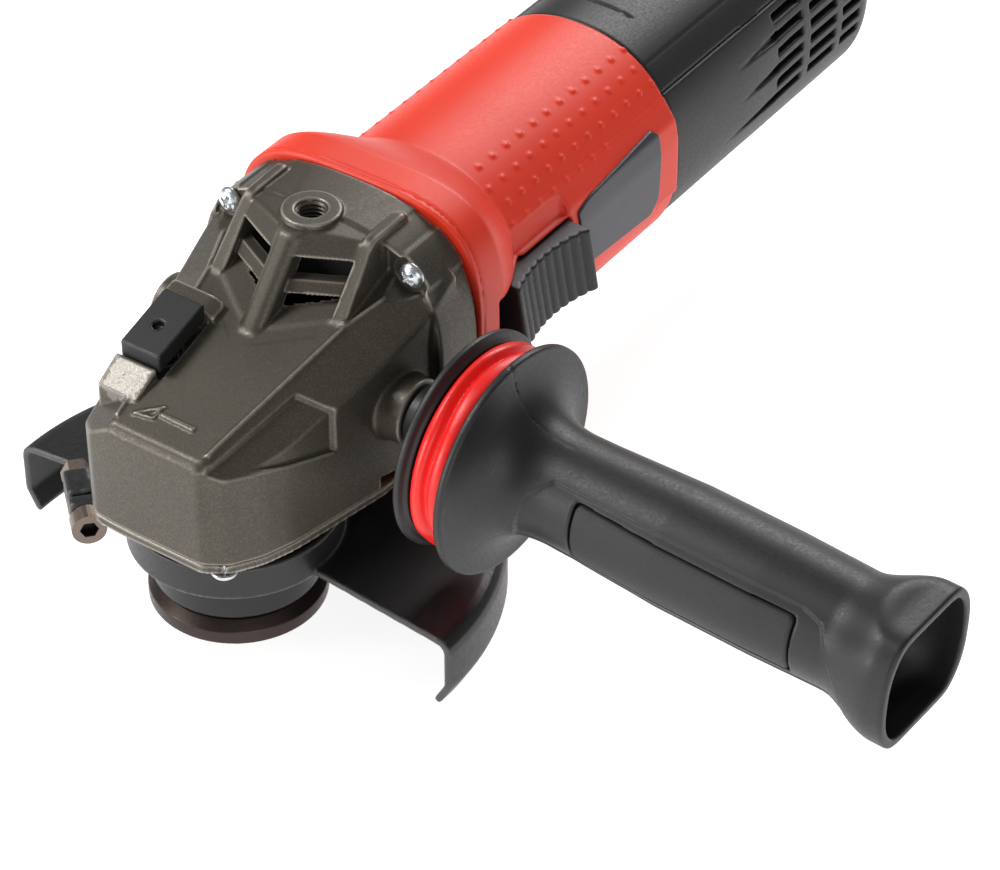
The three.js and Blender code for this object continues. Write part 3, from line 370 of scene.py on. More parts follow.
def skin(name, shape, low, high, cell, body, look, replaces, place=None):
    """Skins a shape inside the box from low to high and makes it a piece that rides on a body."""
    low, high = np.array(low, float), np.array(high, float)
    block = 8
    blocks = np.ceil((high - low) / (cell * block)).astype(int)
    count = blocks * block
    ticks = [low[i] + (np.arange(blocks[i]) + 0.5) * block * cell for i in range(3)]
    centres = np.stack(np.meshgrid(*ticks, indexing="ij"), -1).reshape(-1, 3)
    rough = shape(*centres.T)
    near = np.abs(rough) < block * cell * 1.3 + cell * 2
    field = rough.reshape(blocks).astype(np.float32)
    for axis in range(3):
        field = np.repeat(field, block, axis)
    offsets = np.stack(np.meshgrid(*[np.arange(block)] * 3, indexing="ij"), -1).reshape(-1, 3)
    starts = np.stack(np.unravel_index(np.nonzero(near)[0], blocks), -1) * block
    cells = (starts[:, None] + offsets[None]).reshape(-1, 3)
    for part in np.array_split(cells, max(1, len(cells) // 400000)):
        x, y, z = (low + part * cell).T
        field[tuple(part.T)] = shape(x, y, z)
    inside = field < 0
    corners = [(i, j, k) for i in (0, 1) for j in (0, 1) for k in (0, 1)]
    total = sum(
        inside[i : i + count[0] - 1, j : j + count[1] - 1, k : k + count[2] - 1].astype(np.int8)
        for i, j, k in corners
    )
    mixed_cells = np.stack(np.nonzero((total > 0) & (total < 8)), -1)
    summed = np.zeros((len(mixed_cells), 3))
    hits = np.zeros(len(mixed_cells))
    values = {c: field[tuple((mixed_cells + c).T)] for c in corners}
    for a in corners:
        for axis in range(3):
            if a[axis]:
                continue
            b = tuple(1 if i == axis else a[i] for i in range(3))
            fa, fb = values[a], values[b]
            crossed = (fa < 0) != (fb < 0)
            t = np.where(crossed, fa / np.where(fa == fb, 1, fa - fb), 0)
            point = np.array(a, float)[None] + t[:, None] * (np.array(b, float) - np.array(a, float))
            summed += np.where(crossed[:, None], point, 0)
            hits += crossed
    points = low + (mixed_cells + summed / hits[:, None]) * cell
    step = cell * 0.05
    for _ in range(3):
        here = shape(*points.T)
        rise = [shape(*(points + step * e).T) - shape(*(points - step * e).T) for e in np.eye(3)]
        slope = np.stack(rise, -1) / (2 * step)
        move = -here[:, None] * slope / np.maximum((slope**2).sum(-1), 0.05)[:, None]
        length = np.linalg.norm(move, axis=-1)
        points += move * np.minimum(1, 0.6 * cell / np.maximum(length, 1e-9))[:, None]
    index = np.full(count - 1, -1, np.int64)
    index[tuple(mixed_cells.T)] = np.arange(len(mixed_cells))
    quads = []
    for axis in range(3):
        p, q = (axis + 1) % 3, (axis + 2) % 3
        ahead = np.roll(inside, -1, axis)
        crossing = inside != ahead
        grid = np.stack(np.nonzero(crossing), -1)
        ok = (grid[:, axis] < count[axis] - 1) & (grid[:, p] > 0) & (grid[:, q] > 0)
        ok &= (grid[:, p] < count[p] - 1) & (grid[:, q] < count[q] - 1)
        grid = grid[ok]
        ring = []
        for dp, dq in ((1, 1), (0, 1), (0, 0), (1, 0)):
            shift = grid.copy()
            shift[:, p] -= dp
            shift[:, q] -= dq
            ring.append(index[tuple(shift.T)])
        faces = np.stack(ring, -1)
        flip = ~inside[tuple(grid.T)]
        faces[flip] = faces[flip][:, ::-1]
        quads.append(faces)
    quads = np.concatenate(quads)
    quads = quads[(quads >= 0).all(-1)]
    return piece_from(name, points, quads, body, look, replaces, place)


def piece_from(name, points, faces, body, look, replaces, place=None):
    """A smooth mesh of quads, in millimetres and in its own place, riding on a body."""
    points = np.asarray(points, float)
    if place is not None:
        turn = np.array(place)
        points = points @ turn[:3, :3].T + turn[:3, 3]
    mesh = bpy.data.meshes.new(name)
    mesh.vertices.add(len(points))
    mesh.vertices.foreach_set("co", (points * 0.001).astype(np.float32).ravel())
    mesh.loops.add(len(faces) * 4)
    mesh.loops.foreach_set("vertex_index", np.asarray(faces).ravel())
    mesh.polygons.add(len(faces))
    mesh.polygons.foreach_set("loop_start", np.arange(len(faces)) * 4)
    mesh.polygons.foreach_set("use_smooth", np.ones(len(faces), bool))
    mesh.update(calc_edges=True)
    mesh.validate()
    piece = bpy.data.objects.new(name, mesh)
    SCENE.collection.objects.link(piece)
    mesh.materials.append(LOOKS[look])
    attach(piece, body)
    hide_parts(*replaces)
    return piece


def rounded(profile, radius):
    """A closed [radius, height] profile with each corner turned into a short arc."""
    result = []
    count = len(profile)
    for i in range(count):
        before, corner, after = (Vector(profile[(i + k) % count]) for k in (-1, 0, 1))
        to_before, to_after = before - corner, after - corner
        reach = min(radius, to_before.length * 0.45, to_after.length * 0.45)
        first = corner + to_before.normalized() * reach
        last = corner + to_after.normalized() * reach
        for t in (0, 0.2, 0.4, 0.6, 0.8, 1):
            result.append(first.lerp(corner, t).lerp(corner.lerp(last, t), t))
    return result


def lathe(name, profile, axis, body, look, replaces, place=None, radius=0.4, sides=128):
    """A turned ring with eased corners about Z or X."""
    outline = rounded(profile, radius)
    count = len(outline)
    points, faces = [], []
    for i in range(sides):
        angle = 2 * math.pi * i / sides
        for r, h in outline:
            u, v = r * math.cos(angle), r * math.sin(angle)
            points.append((u, v, h) if axis == "z" else (h, u, v))
        j = (i + 1) % sides
        faces += [
            (i * count + k, j * count + k, j * count + (k + 1) % count, i * count + (k + 1) % count)
            for k in range(count)
        ]
    return piece_from(name, points, faces, body, look, replaces, place)


# ---------------------------------------------------------------- gear head
MOTOR_Z = 67.0  # height of the motor's axis
HEAD_BOTTOM, HEAD_BACK = 44, 55.7
TOP_BOSS_Y = 37.5
SIDE_BOSS = (27, 68)  # y, z
LOCK = (-18, -3)  # x, y of the lock pin
NOSE_RIGHT = [(14, -31), (20, -27.3), (25, -19.5), (28.5, -9), (31, 4.6), (34, 21), (36.7, 38.5)]
NOSE_LEFT = [(-35.5, 38.5), (-33.8, 21), (-31.6, 4), (-29, -14), (-26.4, -26), (-21.5, -30.3), (-14, -31)]
CORNER_SCREWS = [(29.4, 99), (-29.4, 99), (31, 43), (-31, 43)]
FLANGE_SCREWS = [(17.2, -25.8), (-20.4, -25.8), (23, 28), (-23, 28)]


def roof(y, z):
    """Height above the gear head's sloping top."""
    return (z - 76 - 0.294 * (y + 31)) / 1.0423


def crest_x(y):
    """Where the flat top ends and the slope at its side begins."""
    return np.interp(y, [-31, -23, 21, 34.6, 50], [14, 15, 22, 26.6, 31.8])


def barrel(x, z, wide, up, down, power):
    """Distance to a rounded outline about the motor axis."""
    half = np.where(z > MOTOR_Z, up, down)
    rho = np.hypot(x, z - MOTOR_Z) + 1e-6
    share = (np.abs(x / wide) ** power + np.abs((z - MOTOR_Z) / half) ** power) ** (1 / power)
    return rho * (1 - 1 / np.maximum(share, 1e-3))


def prow(ax, y, z):
    """Distance in front of the raised block's face, a blunt V that leans back."""
    return (27.2 + 0.514 * ax + 0.85 * (z - 108.5) - y) / 1.41


def nose(x, y, z):
    ax = np.abs(x)
    top = roof(y, z)
    outline = prism(x, y, NOSE_RIGHT + [(36.7, 60), (-35.5, 60)] + NOSE_LEFT, 0.6)
    fall = (top + (ax - crest_x(y)) * 0.66) / 1.2
    body = soft_max(outline, soft_max(top, fall, 0.4), 0.9)
    body = soft_max(body, (outline + top + 1.7) * 0.7071, 0.6)
    bead = soft_max(np.hypot(ax - crest_x(y), top + 0.35) - 0.75, slab(y, -27, 34), 0.4)
    body = soft_min(body, bead, 0.5)
    # The sunk panel on the right slope, and the side below it.
    sunk = prism(x, y, [(15.2, -34), (44, -34), (44, 11.4), (21.9, 0.4)], 0.4)
    body = carve(body, soft_max(sunk, -(fall + 1.2), 0.4), 0.5)
    side = soft_max(soft_max(sunk, 66.8 - 0.275 * y - z, 0.3), -(outline + 1.3), 0.4)
    body = carve(body, side, 0.6)
    return soft_max(body, np.maximum(HEAD_BOTTOM - z, y - 50), 0.5)


def raised_block(x, y, z):
    """The level block that holds the vents, with a rib at its prow and a fin at each side."""
    ax = np.abs(x)
    face = prow(np.sqrt(x * x + 4) - 1.2, y, z)
    top = z - 108.7 + 0.004 * x * x
    block = soft_max(soft_max(face, top, 1.2), ax - 19.5, 0.6)
    crest = (27.0 + 0.85 * (z - 108.5) - y) / 1.31
    rib = soft_max(soft_max((ax - 2.9 + crest * 0.5) / 1.1, crest - 0.5, 1.8), top - 0.1, 1.2)
    fin = soft_max(17.5 - ax, ax - 20.7 - (108 - z) * 0.07, 0.5)
    fin = soft_max(fin, soft_max(prow(19.0, y, z) - 0.9, z - 108.6 - (y - 35) * 0.035, 1.6), 0.8)
    fin = soft_max(fin, y - 51.5, 2.5)
    body = soft_min(block, soft_min(rib, fin, 0.6), 0.7)
    return soft_max(body, np.maximum(80 - z, y - HEAD_BACK), 0.4)


def vents(x, y, z):
    """The air space in the block, and the two openings at each side of the rib with a bar between them."""
    ax = np.abs(x)
    face = prow(ax, y, z)
    wall = np.maximum(face - 3, -(face + 5.6))
    air = soft_max(soft_max(ax - 17.2, face + 4.2, 0.8), np.maximum(slab(z, 86, 104.4), y - 60), 0.8)
    wide = soft_max(3.5 - ax, ax - 17.6, 0.3)
    upper = soft_max(soft_max(wide, slab(z, 98.1, 103.5), 0.4), wall, 0.3)
    lower = soft_max(soft_max(wide, z - 94.9, 0.4), np.maximum(wall, 0.15 - roof(y, z)), 0.3)
    inset = soft_max(soft_max(wide, slab(z, 94, 99.4), 0.3), np.maximum(face - 3, -(face + 1.5)), 0.3)
    return np.minimum(np.minimum(air, inset), np.minimum(upper, lower))


def lock_seat(x, y, z):
    """The ramp in front of the lock button and the stop behind it."""
    top = roof(y, z)
    wedge = soft_max(slab(x, -25.2, -12.3), slab(y, -21.4, -12.9), 0.4)
    wedge = soft_max(wedge, top - 0.3 - (y + 21.4) * 0.3, 0.3)
    stop = soft_max(soft_max(slab(x, -26.5, -9.6), slab(y, 7.1, 12.6), 0.9), top - 2.8, 0.6)
    stop = soft_max(stop, top - 2.8 + (-13.5 - x) * -0.32, 0.5)
    return soft_max(np.minimum(wedge, stop), -6 - top, 0.4)


def arrow(x, y, z):
    shaft = soft_max(slab(x, -4.2, 6.8), slab(y, -22.6 + (x - 6.8) * -0.02, -21.3), 0.2)
    upper = polyline(x, y, [(-10.6, -24.3), (-4.9, -19.9)]) - 0.55
    lower = polyline(x, y, [(-10.6, -24.3), (-5.2, -23.6), (-4.9, -19.9)]) - 0.4
    return soft_max(np.minimum(shaft, np.minimum(upper, lower)), slab(roof(y, z), -1, 0.45), 0.3)


def gear_head(x, y, z):
    ax = np.abs(x)
    body = soft_min(nose(x, y, z), raised_block(x, y, z), 0.8)

    collar = soft_max(barrel(x, z, 39.4, 41.9, 34.4, 3.0), slab(y, 39.6, HEAD_BACK), 0.9)
    pocket = prism(ax, z, [(21.2, 84), (33.2, 86), (34.2, 96), (31.6, 101.6), (21.2, 105.2)], 1.6)
    collar = carve(collar, soft_max(pocket, y - 41, 0.3), 0.8)
    low = soft_max(slab(ax, 24, 44), z - 51.5, 2.0)
    collar = carve(collar, soft_max(low, y - 41, 0.3), 0.8)
    taper = (y - 45) * 0.35
    waist = soft_max(barrel(x, z, 36.6 + taper, 27 + taper, 34.6 + taper, 2.6), slab(y, 22, 46), 2)
    waist = soft_max(waist, 30 - y - (z - 44) * 0.5, 2)
    waist = soft_max(waist, np.where(z < 52, 34.3 - y, -9.0), 0.3)
    body = soft_min(body, soft_min(collar, waist, 1.2), 1.0)

    # Threaded bosses at the sides and on top, and the ground that the corner screws sit on.
    body = soft_min(body, drum(y - SIDE_BOSS[0], z - SIDE_BOSS[1], ax, 9.4, 24, 41.3, 0.8), 1.2)
    body = soft_min(body, drum(x, y - TOP_BOSS_Y, z, 8.0, 98, 110.1, 0.4), 0.5)
    for sx, sz in CORNER_SCREWS:
        ground = drum(ax - abs(sx), z - sz, y, 5.7, 41, HEAD_BACK, 0.6)
        body = soft_min(body, soft_max(ground, barrel(x, z, 39.6, 42.1, 34.6, 3.0), 0.6), 0.8)
    body = soft_min(body, lock_seat(x, y, z), 0.5)
    body = soft_min(body, arrow(x, y, z), 0.3)

    # Hollows.
    body = carve(body, vents(x, y, z), 0.5)
    body = carve(body, drum(x, y, z, 24.6, 43, 66.5, 0.5), 0.5)
    way = np.minimum(drum(x, z - MOTOR_Z, y, 13.6, 8, 46, 0.4), drum(x, z - MOTOR_Z, y, 21, 24, 46, 0.4))
    way = np.minimum(way, drum(x, z - MOTOR_Z, y, 28.4, 44.6, 60, 0.4))
    body = carve(body, np.maximum(way, -drum(x, y, z, 10.4, 70.6, 82, 0.3)), 0.5)
    body = carve(body, drum(x, y, z, 7.7, 60, 79.3, 0.2), 0.3)
    for sx, sz in CORNER_SCREWS[::2]:
        body = carve(body, drum(ax - sx, z - sz, y, 5.2, 20, 41, 0.5), 0.6)
    body = carve(body, drum(x, y - TOP_BOSS_Y, z, 4.3, 97, 120, 0.3), 0.4)
    body = carve(body, drum(y - SIDE_BOSS[0], z - SIDE_BOSS[1], ax, 4.3, 24, 50, 0.3), 0.5)
    button = soft_max(soft_max(slab(x, -24.9, -11.1), slab(y, -12.9, 7.1), 0.6), -3.1 - roof(y, z), 0.3)
    body = carve(body, button, 0.3)
    well = drum(x - LOCK[0], y - LOCK[1], z, 4.6, 70, 95, 0.2)
    pin_way = drum(x - LOCK[0], y - LOCK[1], z, 2.8, 60, 95, 0.2)
    body = carve(body, np.minimum(well, pin_way), 0.3)
    return body


# ---------------------------------------------------------------- motor housing and rear cover
BARREL_WIDE, BARREL_UP, BARREL_POWER = 34.3, 35.1, 2.2
HOUSING_FRONT, HOUSING_BACK = 56.2, 160.8
COVER_FRONT, COVER_BACK = 161.2, 276.9
LID_Z = 88  # the lid and the tub part here, with a gap
SLOT_Z, SLOT_STEP, SLOT_TALL = 57, 5.2, 2.6


def blend(t, low, high):
    return low + (high - low) * t


def ease(t):
    t = np.clip(t, 0, 1)
    return t * t * (3 - 2 * t)


def housing_skin(x, y, z):
    """The red housing's outside: a square flange that falls in a soft shoulder to the barrel."""
    t = np.clip((y - 67) / 18, 0, 1)
    t = blend(0.45, t, ease(t))
    wide = blend(t, 40, BARREL_WIDE)
    up = blend(t, 42.5, BARREL_UP)
    return barrel(x, z, wide, up, blend(t, 35, 33.9), blend(t, 3.7, BARREL_POWER))


# Rows of small pips: degrees from straight up, the first one's y, and how many.
PIP_ROWS = [(26, 90, 12), (36, 87, 12), (45.5, 89.5, 12), (54.3, 86.6, 8), (-39.5, 90, 12)]
PIP_STEP = 6.36


def side_skin(x, y, z):
    """The housing's outside with the flat panel along each side."""
    panel = prism(np.abs(x), z, [(20, 55), (34.4, 58.5), (34.4, 76), (33.2, 82), (29.1, 88), (20, 88)], 0.4)
    return soft_min(housing_skin(x, y, z), soft_max(panel, 84 - y, 2.0), 0.6)


def motor_housing(x, y, z):
    body = soft_max(side_skin(x, y, z), slab(y, HOUSING_FRONT, HOUSING_BACK), 0.7)
    # A moulded line behind the front edge, and the sunk bay above the switch.
    body = carve(body, soft_max(np.abs(y - 58.0) - 0.3, -(housing_skin(x, y, z) + 0.4), 0.2), 0.3)
    bay = prism(y, z, [(77, 80.9), (107, 80.9), (107, 85.4), (104, 86.6), (84, 86.6)], 0.6)
    body = carve(body, soft_max(bay, 31.6 - x - (z - 81) * 0.3, 0.4), 0.8)
    for row_angle, first, count in PIP_ROWS:
        angle = math.radians(row_angle)
        for i in range(count):
            py = first + PIP_STEP * i
            near = np.abs(y - py) < 4
            reach = surface_radius(angle) - 0.3
            px, pz = reach * math.sin(angle), MOTOR_Z + reach * math.cos(angle)
            ball = np.sqrt((x - px) ** 2 + (y - py) ** 2 + (z - pz) ** 2) - 0.8
            body = np.where(near, soft_min(body, ball, 0.6), body)
    t = np.clip((y - 66) / 20, 0, 1)
    wide = blend(t, 35.8, 31.4)
    hollow = barrel(x, z, wide, blend(t, 38.3, 32.2), blend(t, 30.8, 31.0), blend(t, 3.0, 2.2))
    body = soft_max(body, -hollow, 0.5)
    return carve(body, brick(x, y, z, (24, 50), (65, 107.8), (59.9, 80.1), 0.8), 0.6)


def surface_radius(angle):
    """Distance from the motor axis to the barrel's skin at an angle from straight up."""
    sx, sz = abs(math.sin(angle)), abs(math.cos(angle))
    share = (sx / BARREL_WIDE) ** BARREL_POWER + (sz / BARREL_UP) ** BARREL_POWER
    return share ** (-1 / BARREL_POWER)


def cover_skin(x, y, z, grow=0.0):
    t = ease((y - 196) / 36)
    end = np.clip((y - 266) / 11, 0, 1)
    pull = grow - 5.2 * end * end
    wide, up, down = blend(t, 33.8, 32.6), blend(t, 34.6, 33.2), blend(t, 33.4, 32.4)
    return barrel(x, z, wide + pull, up + pull, down + pull, blend(t, 2.2, 2.5))


COLUMNS = [(217, 232), (236, 251), (254.5, 265)]


def rear_cover(x, y, z):
    ax = np.abs(x)
    outside = cover_skin(x, y, z)
    body = soft_max(outside, slab(y, COVER_FRONT, COVER_BACK), 0.9)
    body = soft_max(body, -soft_max(cover_skin(x, y, z, -2.8), y - 273.8, 1.0), 0.5)
    gland = drum(x, z - 61, y, 9.5, 272, 280.9, 0.8)
    body = soft_min(body, gland, 1.2)
    body = carve(body, drum(x, z - 61, y, 5, 250, 290, 0.5), 0.6)
    for low, high in COLUMNS:
        for row in range(6):
            bottom = SLOT_Z + row * SLOT_STEP
            slot = soft_max(slab(y, low, high), slab(z, bottom, bottom + SLOT_TALL), 0.5)
            slot = soft_max(slot, 18 - ax, 0.3)
            body = carve(body, slot, 0.5)
    # Long tapered hollows that lead the air into the first column.
    for row, start in ((0, 188), (2, 196), (4, 196)):
        share = np.clip((y - start) / (217.5 - start), 0, 1)
        middle = SLOT_Z + row * SLOT_STEP + SLOT_TALL / 2
        flute = soft_max(np.abs(z - middle) - 1.5 * share, -(outside + 2.0 * share), 0.4)
        flute = soft_max(flute, np.maximum(slab(y, start, 217.6), 15 - ax), 0.4)
        body = carve(body, flute, 0.6)
    # A moulded line along each side of the lid, and a short one across it.
    for angle in (37.5, -37.5):
        turn = math.radians(angle)
        across = x * math.cos(turn) - (z - MOTOR_Z) * math.sin(turn)
        line = soft_max(np.abs(across) - 0.28, -(outside + 0.45), 0.2)
        line = soft_max(line, np.maximum(slab(y, 161, 236), 90 - z), 0.2)
        body = carve(body, line, 0.35)
    across = np.degrees(np.arctan2(x, z - MOTOR_Z))
    ends = np.maximum(-(outside + 0.5), np.abs(across - 3) * 0.6 - 8.4)
    line = soft_max(np.abs(y - 173) - 0.35, ends, 0.2)
    return carve(body, line, 0.35)


def lid(x, y, z):
    return soft_max(rear_cover(x, y, z), LID_Z + 0.15 - z, 0.4)


def tub(x, y, z):
    return soft_max(rear_cover(x, y, z), z - (LID_Z - 0.15), 0.4)


def switch_knob(x, y, z):
    t = (y - 72.5) / 34.5
    wave = 0.85 * np.sqrt(np.abs(np.sin(math.pi * 10 * t)) + 0.02) - 0.55
    face = 39.0 + 3.3 * (2 * t - 1) ** 2 + wave - (z - 70) * 0.17
    body = soft_max((x - face) * 0.8, np.maximum(slab(y, 72.6, 106.9), 30.4 - x), 0.7)
    return soft_max(body, slab(z, 60.6, 79.4), 0.8)


def badge(x, y, z):
    corners = [(112, 60.5), (146, 58.5), (150, 62), (151.4, 82), (149.4, 84.2), (116, 81.6), (110.4, 79.6)]
    outline = prism(y, z, corners, 0.8)
    return soft_max(soft_max(outline, slab(side_skin(x, y, z), -0.4, 0.7), 0.4), 20 - x, 0.2)


# ---------------------------------------------------------------- side handle, along its own X
HANDLE = (
    Matrix.Translation((41.5, 27, 68))
    @ Matrix.Rotation(math.radians(-2.06), 4, "Z")
    @ Matrix.Rotation(math.radians(1.77), 4, "Y")
)


def grip_radius(u):
    return np.interp(u, [40, 56, 82, 110, 134, 160], [15.0, 15.4, 16.6, 16.6, 16.0, 16.0])


def grip_outline(u, v, w, inset=0.0):
    flare = ease((u - 131) / 17.5)
    power = 2 + 0.6 * flare
    radius = blend(flare, grip_radius(u), 19.8) - inset
    share = (np.abs(v / radius) ** power + np.abs(w / radius) ** power) ** (1 / power)
    rho = np.hypot(v, w) + 1e-6
    round_part = rho * (1 - 1 / np.maximum(share, 1e-3))
    return soft_max(round_part, np.abs(w) - blend(flare, grip_radius(u) + 6, 17.6) + inset, 1.5)


def grip_angle(v, w):
    """Degrees up from straight forward."""
    return np.degrees(np.arctan2(w, -v))


def grip_hull(u, v, w):
    """The grip's outside with its guard disc, the front let in a little below a line along the grip."""
    rho = np.hypot(v, w)
    angle = grip_angle(v, w)
    border = np.interp(u, [40, 44, 50, 124, 130, 142], [-40, 22, 45, 46, 40, -40])
    lower = np.interp(u, [40, 48, 130, 142], [-40, -48, -48, -40])
    share = ease((border - angle) * 0.36 + 0.5) * ease((angle - lower) * 0.36 + 0.5)
    body = soft_max(grip_outline(u, v, w) + 0.6 * share, slab(u, 28.2, 153), 1.0)
    disc = soft_max(rho - 32, slab(u, 28.2, 30.5), 0.9)
    body = soft_min(body, disc, 18)
    return soft_max(body, soft_max(rho - 32, 28.1 - u, 0.6), 0.6)


def grip(u, v, w):
    rho = np.hypot(v, w)
    body = grip_hull(u, v, w)
    seam = soft_max(soft_max(np.abs(v + 0.08 * w) - 0.14, 8 - w, 0.1), u - 50, 0.2)
    body = carve(body, soft_max(seam, -(body + 0.35), 0.1), 0.15)
    bed = soft_max(pad_block(u, v, w, 0.6), -(body + 1.9), 0.3)
    body = carve(body, bed, 0.4)
    bore = np.minimum(drum(v, w, u, 4.3, 20, 70, 0.3), drum(v, w, u, 9, 62, 134, 0.3))
    mouth = soft_max(grip_outline(u, v, w, 2.5), 134 - u, 0.4)
    mouth = soft_max(mouth, rho - 11 - (u - 134) * 1.2, 1.0)
    web = soft_max(np.abs(v + 1.5) - 0.8, slab(u, 96, 141), 0.4)
    return carve(body, soft_max(np.minimum(bore, mouth), -web, 0.4), 0.6)


def pad_block(u, v, w, grow):
    return brick(u, w, v, (58 - grow, 123 + grow), (-8 - grow, 8.6 + grow), (-30, 0), 1.6)


def pad(u, v, w):
    depth = grip_hull(u, v, w)
    return soft_max(soft_max(pad_block(u, v, w, 0.0), depth - 0.05, 0.8), -(depth + 1.6), 0.2)


def damper(u, v, w):
    rho = np.hypot(v, w)
    turn = np.arctan2(w, v)
    groove = 22.4 + 0.7 * np.sin(turn * 2 + 0.6) + 0.35 * np.sin(turn * 5 + 2)
    pinch = np.exp(-((np.angle(np.exp(1j * (turn + 2.5)))) / 0.16) ** 2)
    outer = 28.5 - 2.0 * np.exp(-(((u - groove) / 1.1) ** 2)) - 0.4 * pinch
    body = soft_max(rho - outer, slab(u, 17.6, 27.6), 2.6)
    return carve(body * 0.85, rho - 12, 0.5)


def coil(name, radius, wire, length, turns, body, replaces, place):
    """A compression spring along its own Z, from 0 to its length."""
    points, faces = [], []
    steps = turns * 32
    for i in range(steps + 1):
        t = i / steps
        angle = 2 * math.pi * turns * t
        rise = wire + float(ease(t)) * (length - 2 * wire)
        for k in range(8):
            turn = 2 * math.pi * k / 8
            reach = radius + wire * math.cos(turn)
            points.append((reach * math.cos(angle), reach * math.sin(angle), rise + wire * math.sin(turn)))
    for i in range(steps):
        for k in range(8):
            a, b = i * 8 + k, i * 8 + (k + 1) % 8
            faces.append((a, a + 8, b + 8, b))
    for ring, order in ((0, 1), (steps * 8, -1)):
        for quad in ((0, 1, 2, 3), (0, 3, 4, 7), (4, 5, 6, 7)):
            faces.append(tuple(ring + k for k in quad[::order]))
    piece = piece_from(name, points, faces, body, "spring", replaces, place)
    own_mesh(piece)


# ---------------------------------------------------------------- guard
# The middle of the guard's sheet, as (radius, z).
GUARD_LINE = [
    (28, 29.4), (67.6, 25.2), (69.4, 24.7), (70.6, 23.5), (71, 22), (71, 11.2), (70.7, 10.1), (67.9, 5.0),
]
CLAMP_TURN = math.radians(228)


def guard(x, y, z):
    rho = np.hypot(x, y)
    sheet = polyline(rho, z, GUARD_LINE) - 0.98
    sheet = soft_max(sheet, -3.5 - y, 0.5)
    collar = soft_max(np.abs(rho - 28) - 1, slab(z, 28.4, 38.2), 0.5)
    a = x * math.cos(CLAMP_TURN) + y * math.sin(CLAMP_TURN)
    b = -x * math.sin(CLAMP_TURN) + y * math.cos(CLAMP_TURN)
    front = brick(a, b, z, (26, 42.4), (-13.5, -9.1), (27.7, 36.3), 1.0)
    rear = brick(a, b, z, (34.7, 42.4), (-25, -14.3), (27.7, 36.3), 1.2)
    foot = brick(a, b, z, (24, 38.2), (-18.5, -14.3), (28.4, 36.3), 0.8)
    lugs = soft_max(np.minimum(front, soft_min(rear, foot, 1.0)), 28.2 - rho, 0.3)
    body = soft_min(sheet, soft_min(collar, lugs, 0.8), 0.8)
    body = carve(body, brick(a, b, z, (22, 44), (-14.3, -13.5), (20, 60), 0.1), 0.2)
    return carve(body, drum(a - 38.2, z - 31.6, b, 2.8, -40, 0, 0.2), 0.3)


# ---------------------------------------------------------------- bearing flange, screws, lock button
def nose_outline(x, y, inset=0.0):
    return prism(x, y, NOSE_RIGHT[:-1] + [(34, 34), (-33.8, 34)] + NOSE_LEFT[1:], 0.6) + inset


def bearing_plate(x, y, z):
    body = soft_max(nose_outline(x, y, 0.05), slab(z, 41, 43.85), 0.5)
    body = carve(body, drum(x, y, z, 20.5, 30, 50, 0.2), 0.2)
    for sx, sy in FLANGE_SCREWS:
        body = carve(body, drum(x - sx, y - sy, z, 2.3, 30, 50, 0.2), 0.2)
    return body


def gasket(x, y, z):
    return carve(soft_max(nose_outline(x, y, 0.35), slab(z, 43.7, 44.2), 0.1), np.hypot(x, y) - 26, 0.2)


def bearing_neck(x, y, z):
    rho = np.hypot(x, y)
    body = soft_min(
        soft_max(rho - 22.9, slab(z, 16.3, 30), 0.9), soft_max(rho - 26.4, slab(z, 28, 41.1), 0.7), 0.5
    )
    steps = np.minimum(np.maximum(rho - 16.1, 29.8 - z), np.maximum(rho - 20.5, 40.1 - z))
    bore = np.minimum(rho - 11, steps)
    return carve(body, bore, 0.4)


def pan_head(x, y, z):
    """A pan head with a cross recess: its underside is at z = 0."""
    rho = np.hypot(x, y)
    dome = soft_max(np.sqrt(rho**2 + (z + 2.7) ** 2) - 5.25, rho - 3.75, 0.7)
    head = soft_max(dome, -z, 0.15)
    depth = 1.0 + 0.25 * rho
    ax, ay = np.abs(x), np.abs(y)
    cross = np.minimum(np.maximum(ax - 0.42, ay - 2.0), np.maximum(ay - 0.42, ax - 2.0))
    cross = soft_min(cross, rho - 0.85, 0.3)
    head = carve(head, soft_max(cross, depth - z, 0.25), 0.25)
    shank = soft_max(rho - 1.9, slab(z, -2.7, 0.3), 0.3)
    return np.minimum(head, shank)


def lock_button(x, y, z):
    top = roof(y, z)
    body = soft_max(soft_max(slab(x, -24.4, -11.6), slab(y, -12.4, 6.6), 0.7), slab(top, 1.0, 6.0), 0.5)
    dimple = np.hypot(x + 18.5, y + 4.0)
    return carve(body, soft_max(dimple - 1.5, 4.2 - top, 0.3), 0.4)


add_camera()
add_studio()
skin("gear_housing_skin", gear_head, (-44, -34, 30), (44, 58, 113), FINE * 0.9,
     "body", "cast", ["gear_housing"])
skin("motor_housing_skin", motor_housing, (-42, 54, 30), (42, 163, 112), FINE * 1.1,
     "body", "red", ["motor_housing"])
for part, shape in (("top", lid), ("bottom", tub)):
    low, high = (86, 104) if part == "top" else (32, 90)
    skin(f"rear_cover_{part}_skin", shape, (-37, 159, low), (37, 283, high), FINE * 1.1,
         "body", "black", [f"rear_cover_{part}"])
skin("switch_knob_skin", switch_knob, (28, 70, 58), (46, 109, 82), FINE * 0.6,
     "slide_switch", "knob", ["switch_knob"])
skin("badge_skin", badge, (28, 104, 57), (37, 153, 89), FINE * 0.6,
     "body", "badge", ["badge"])
skin("handle_grip_skin", grip, (26, -35, -35), (156, 35, 35), FINE * 0.9,
     "body", "black", ["handle_grip"], HANDLE)
skin("handle_pad_skin", pad, (55, -19, -12), (126, -8, 13), FINE * 0.8,
     "body", "rubber", ["handle_pad"], HANDLE)
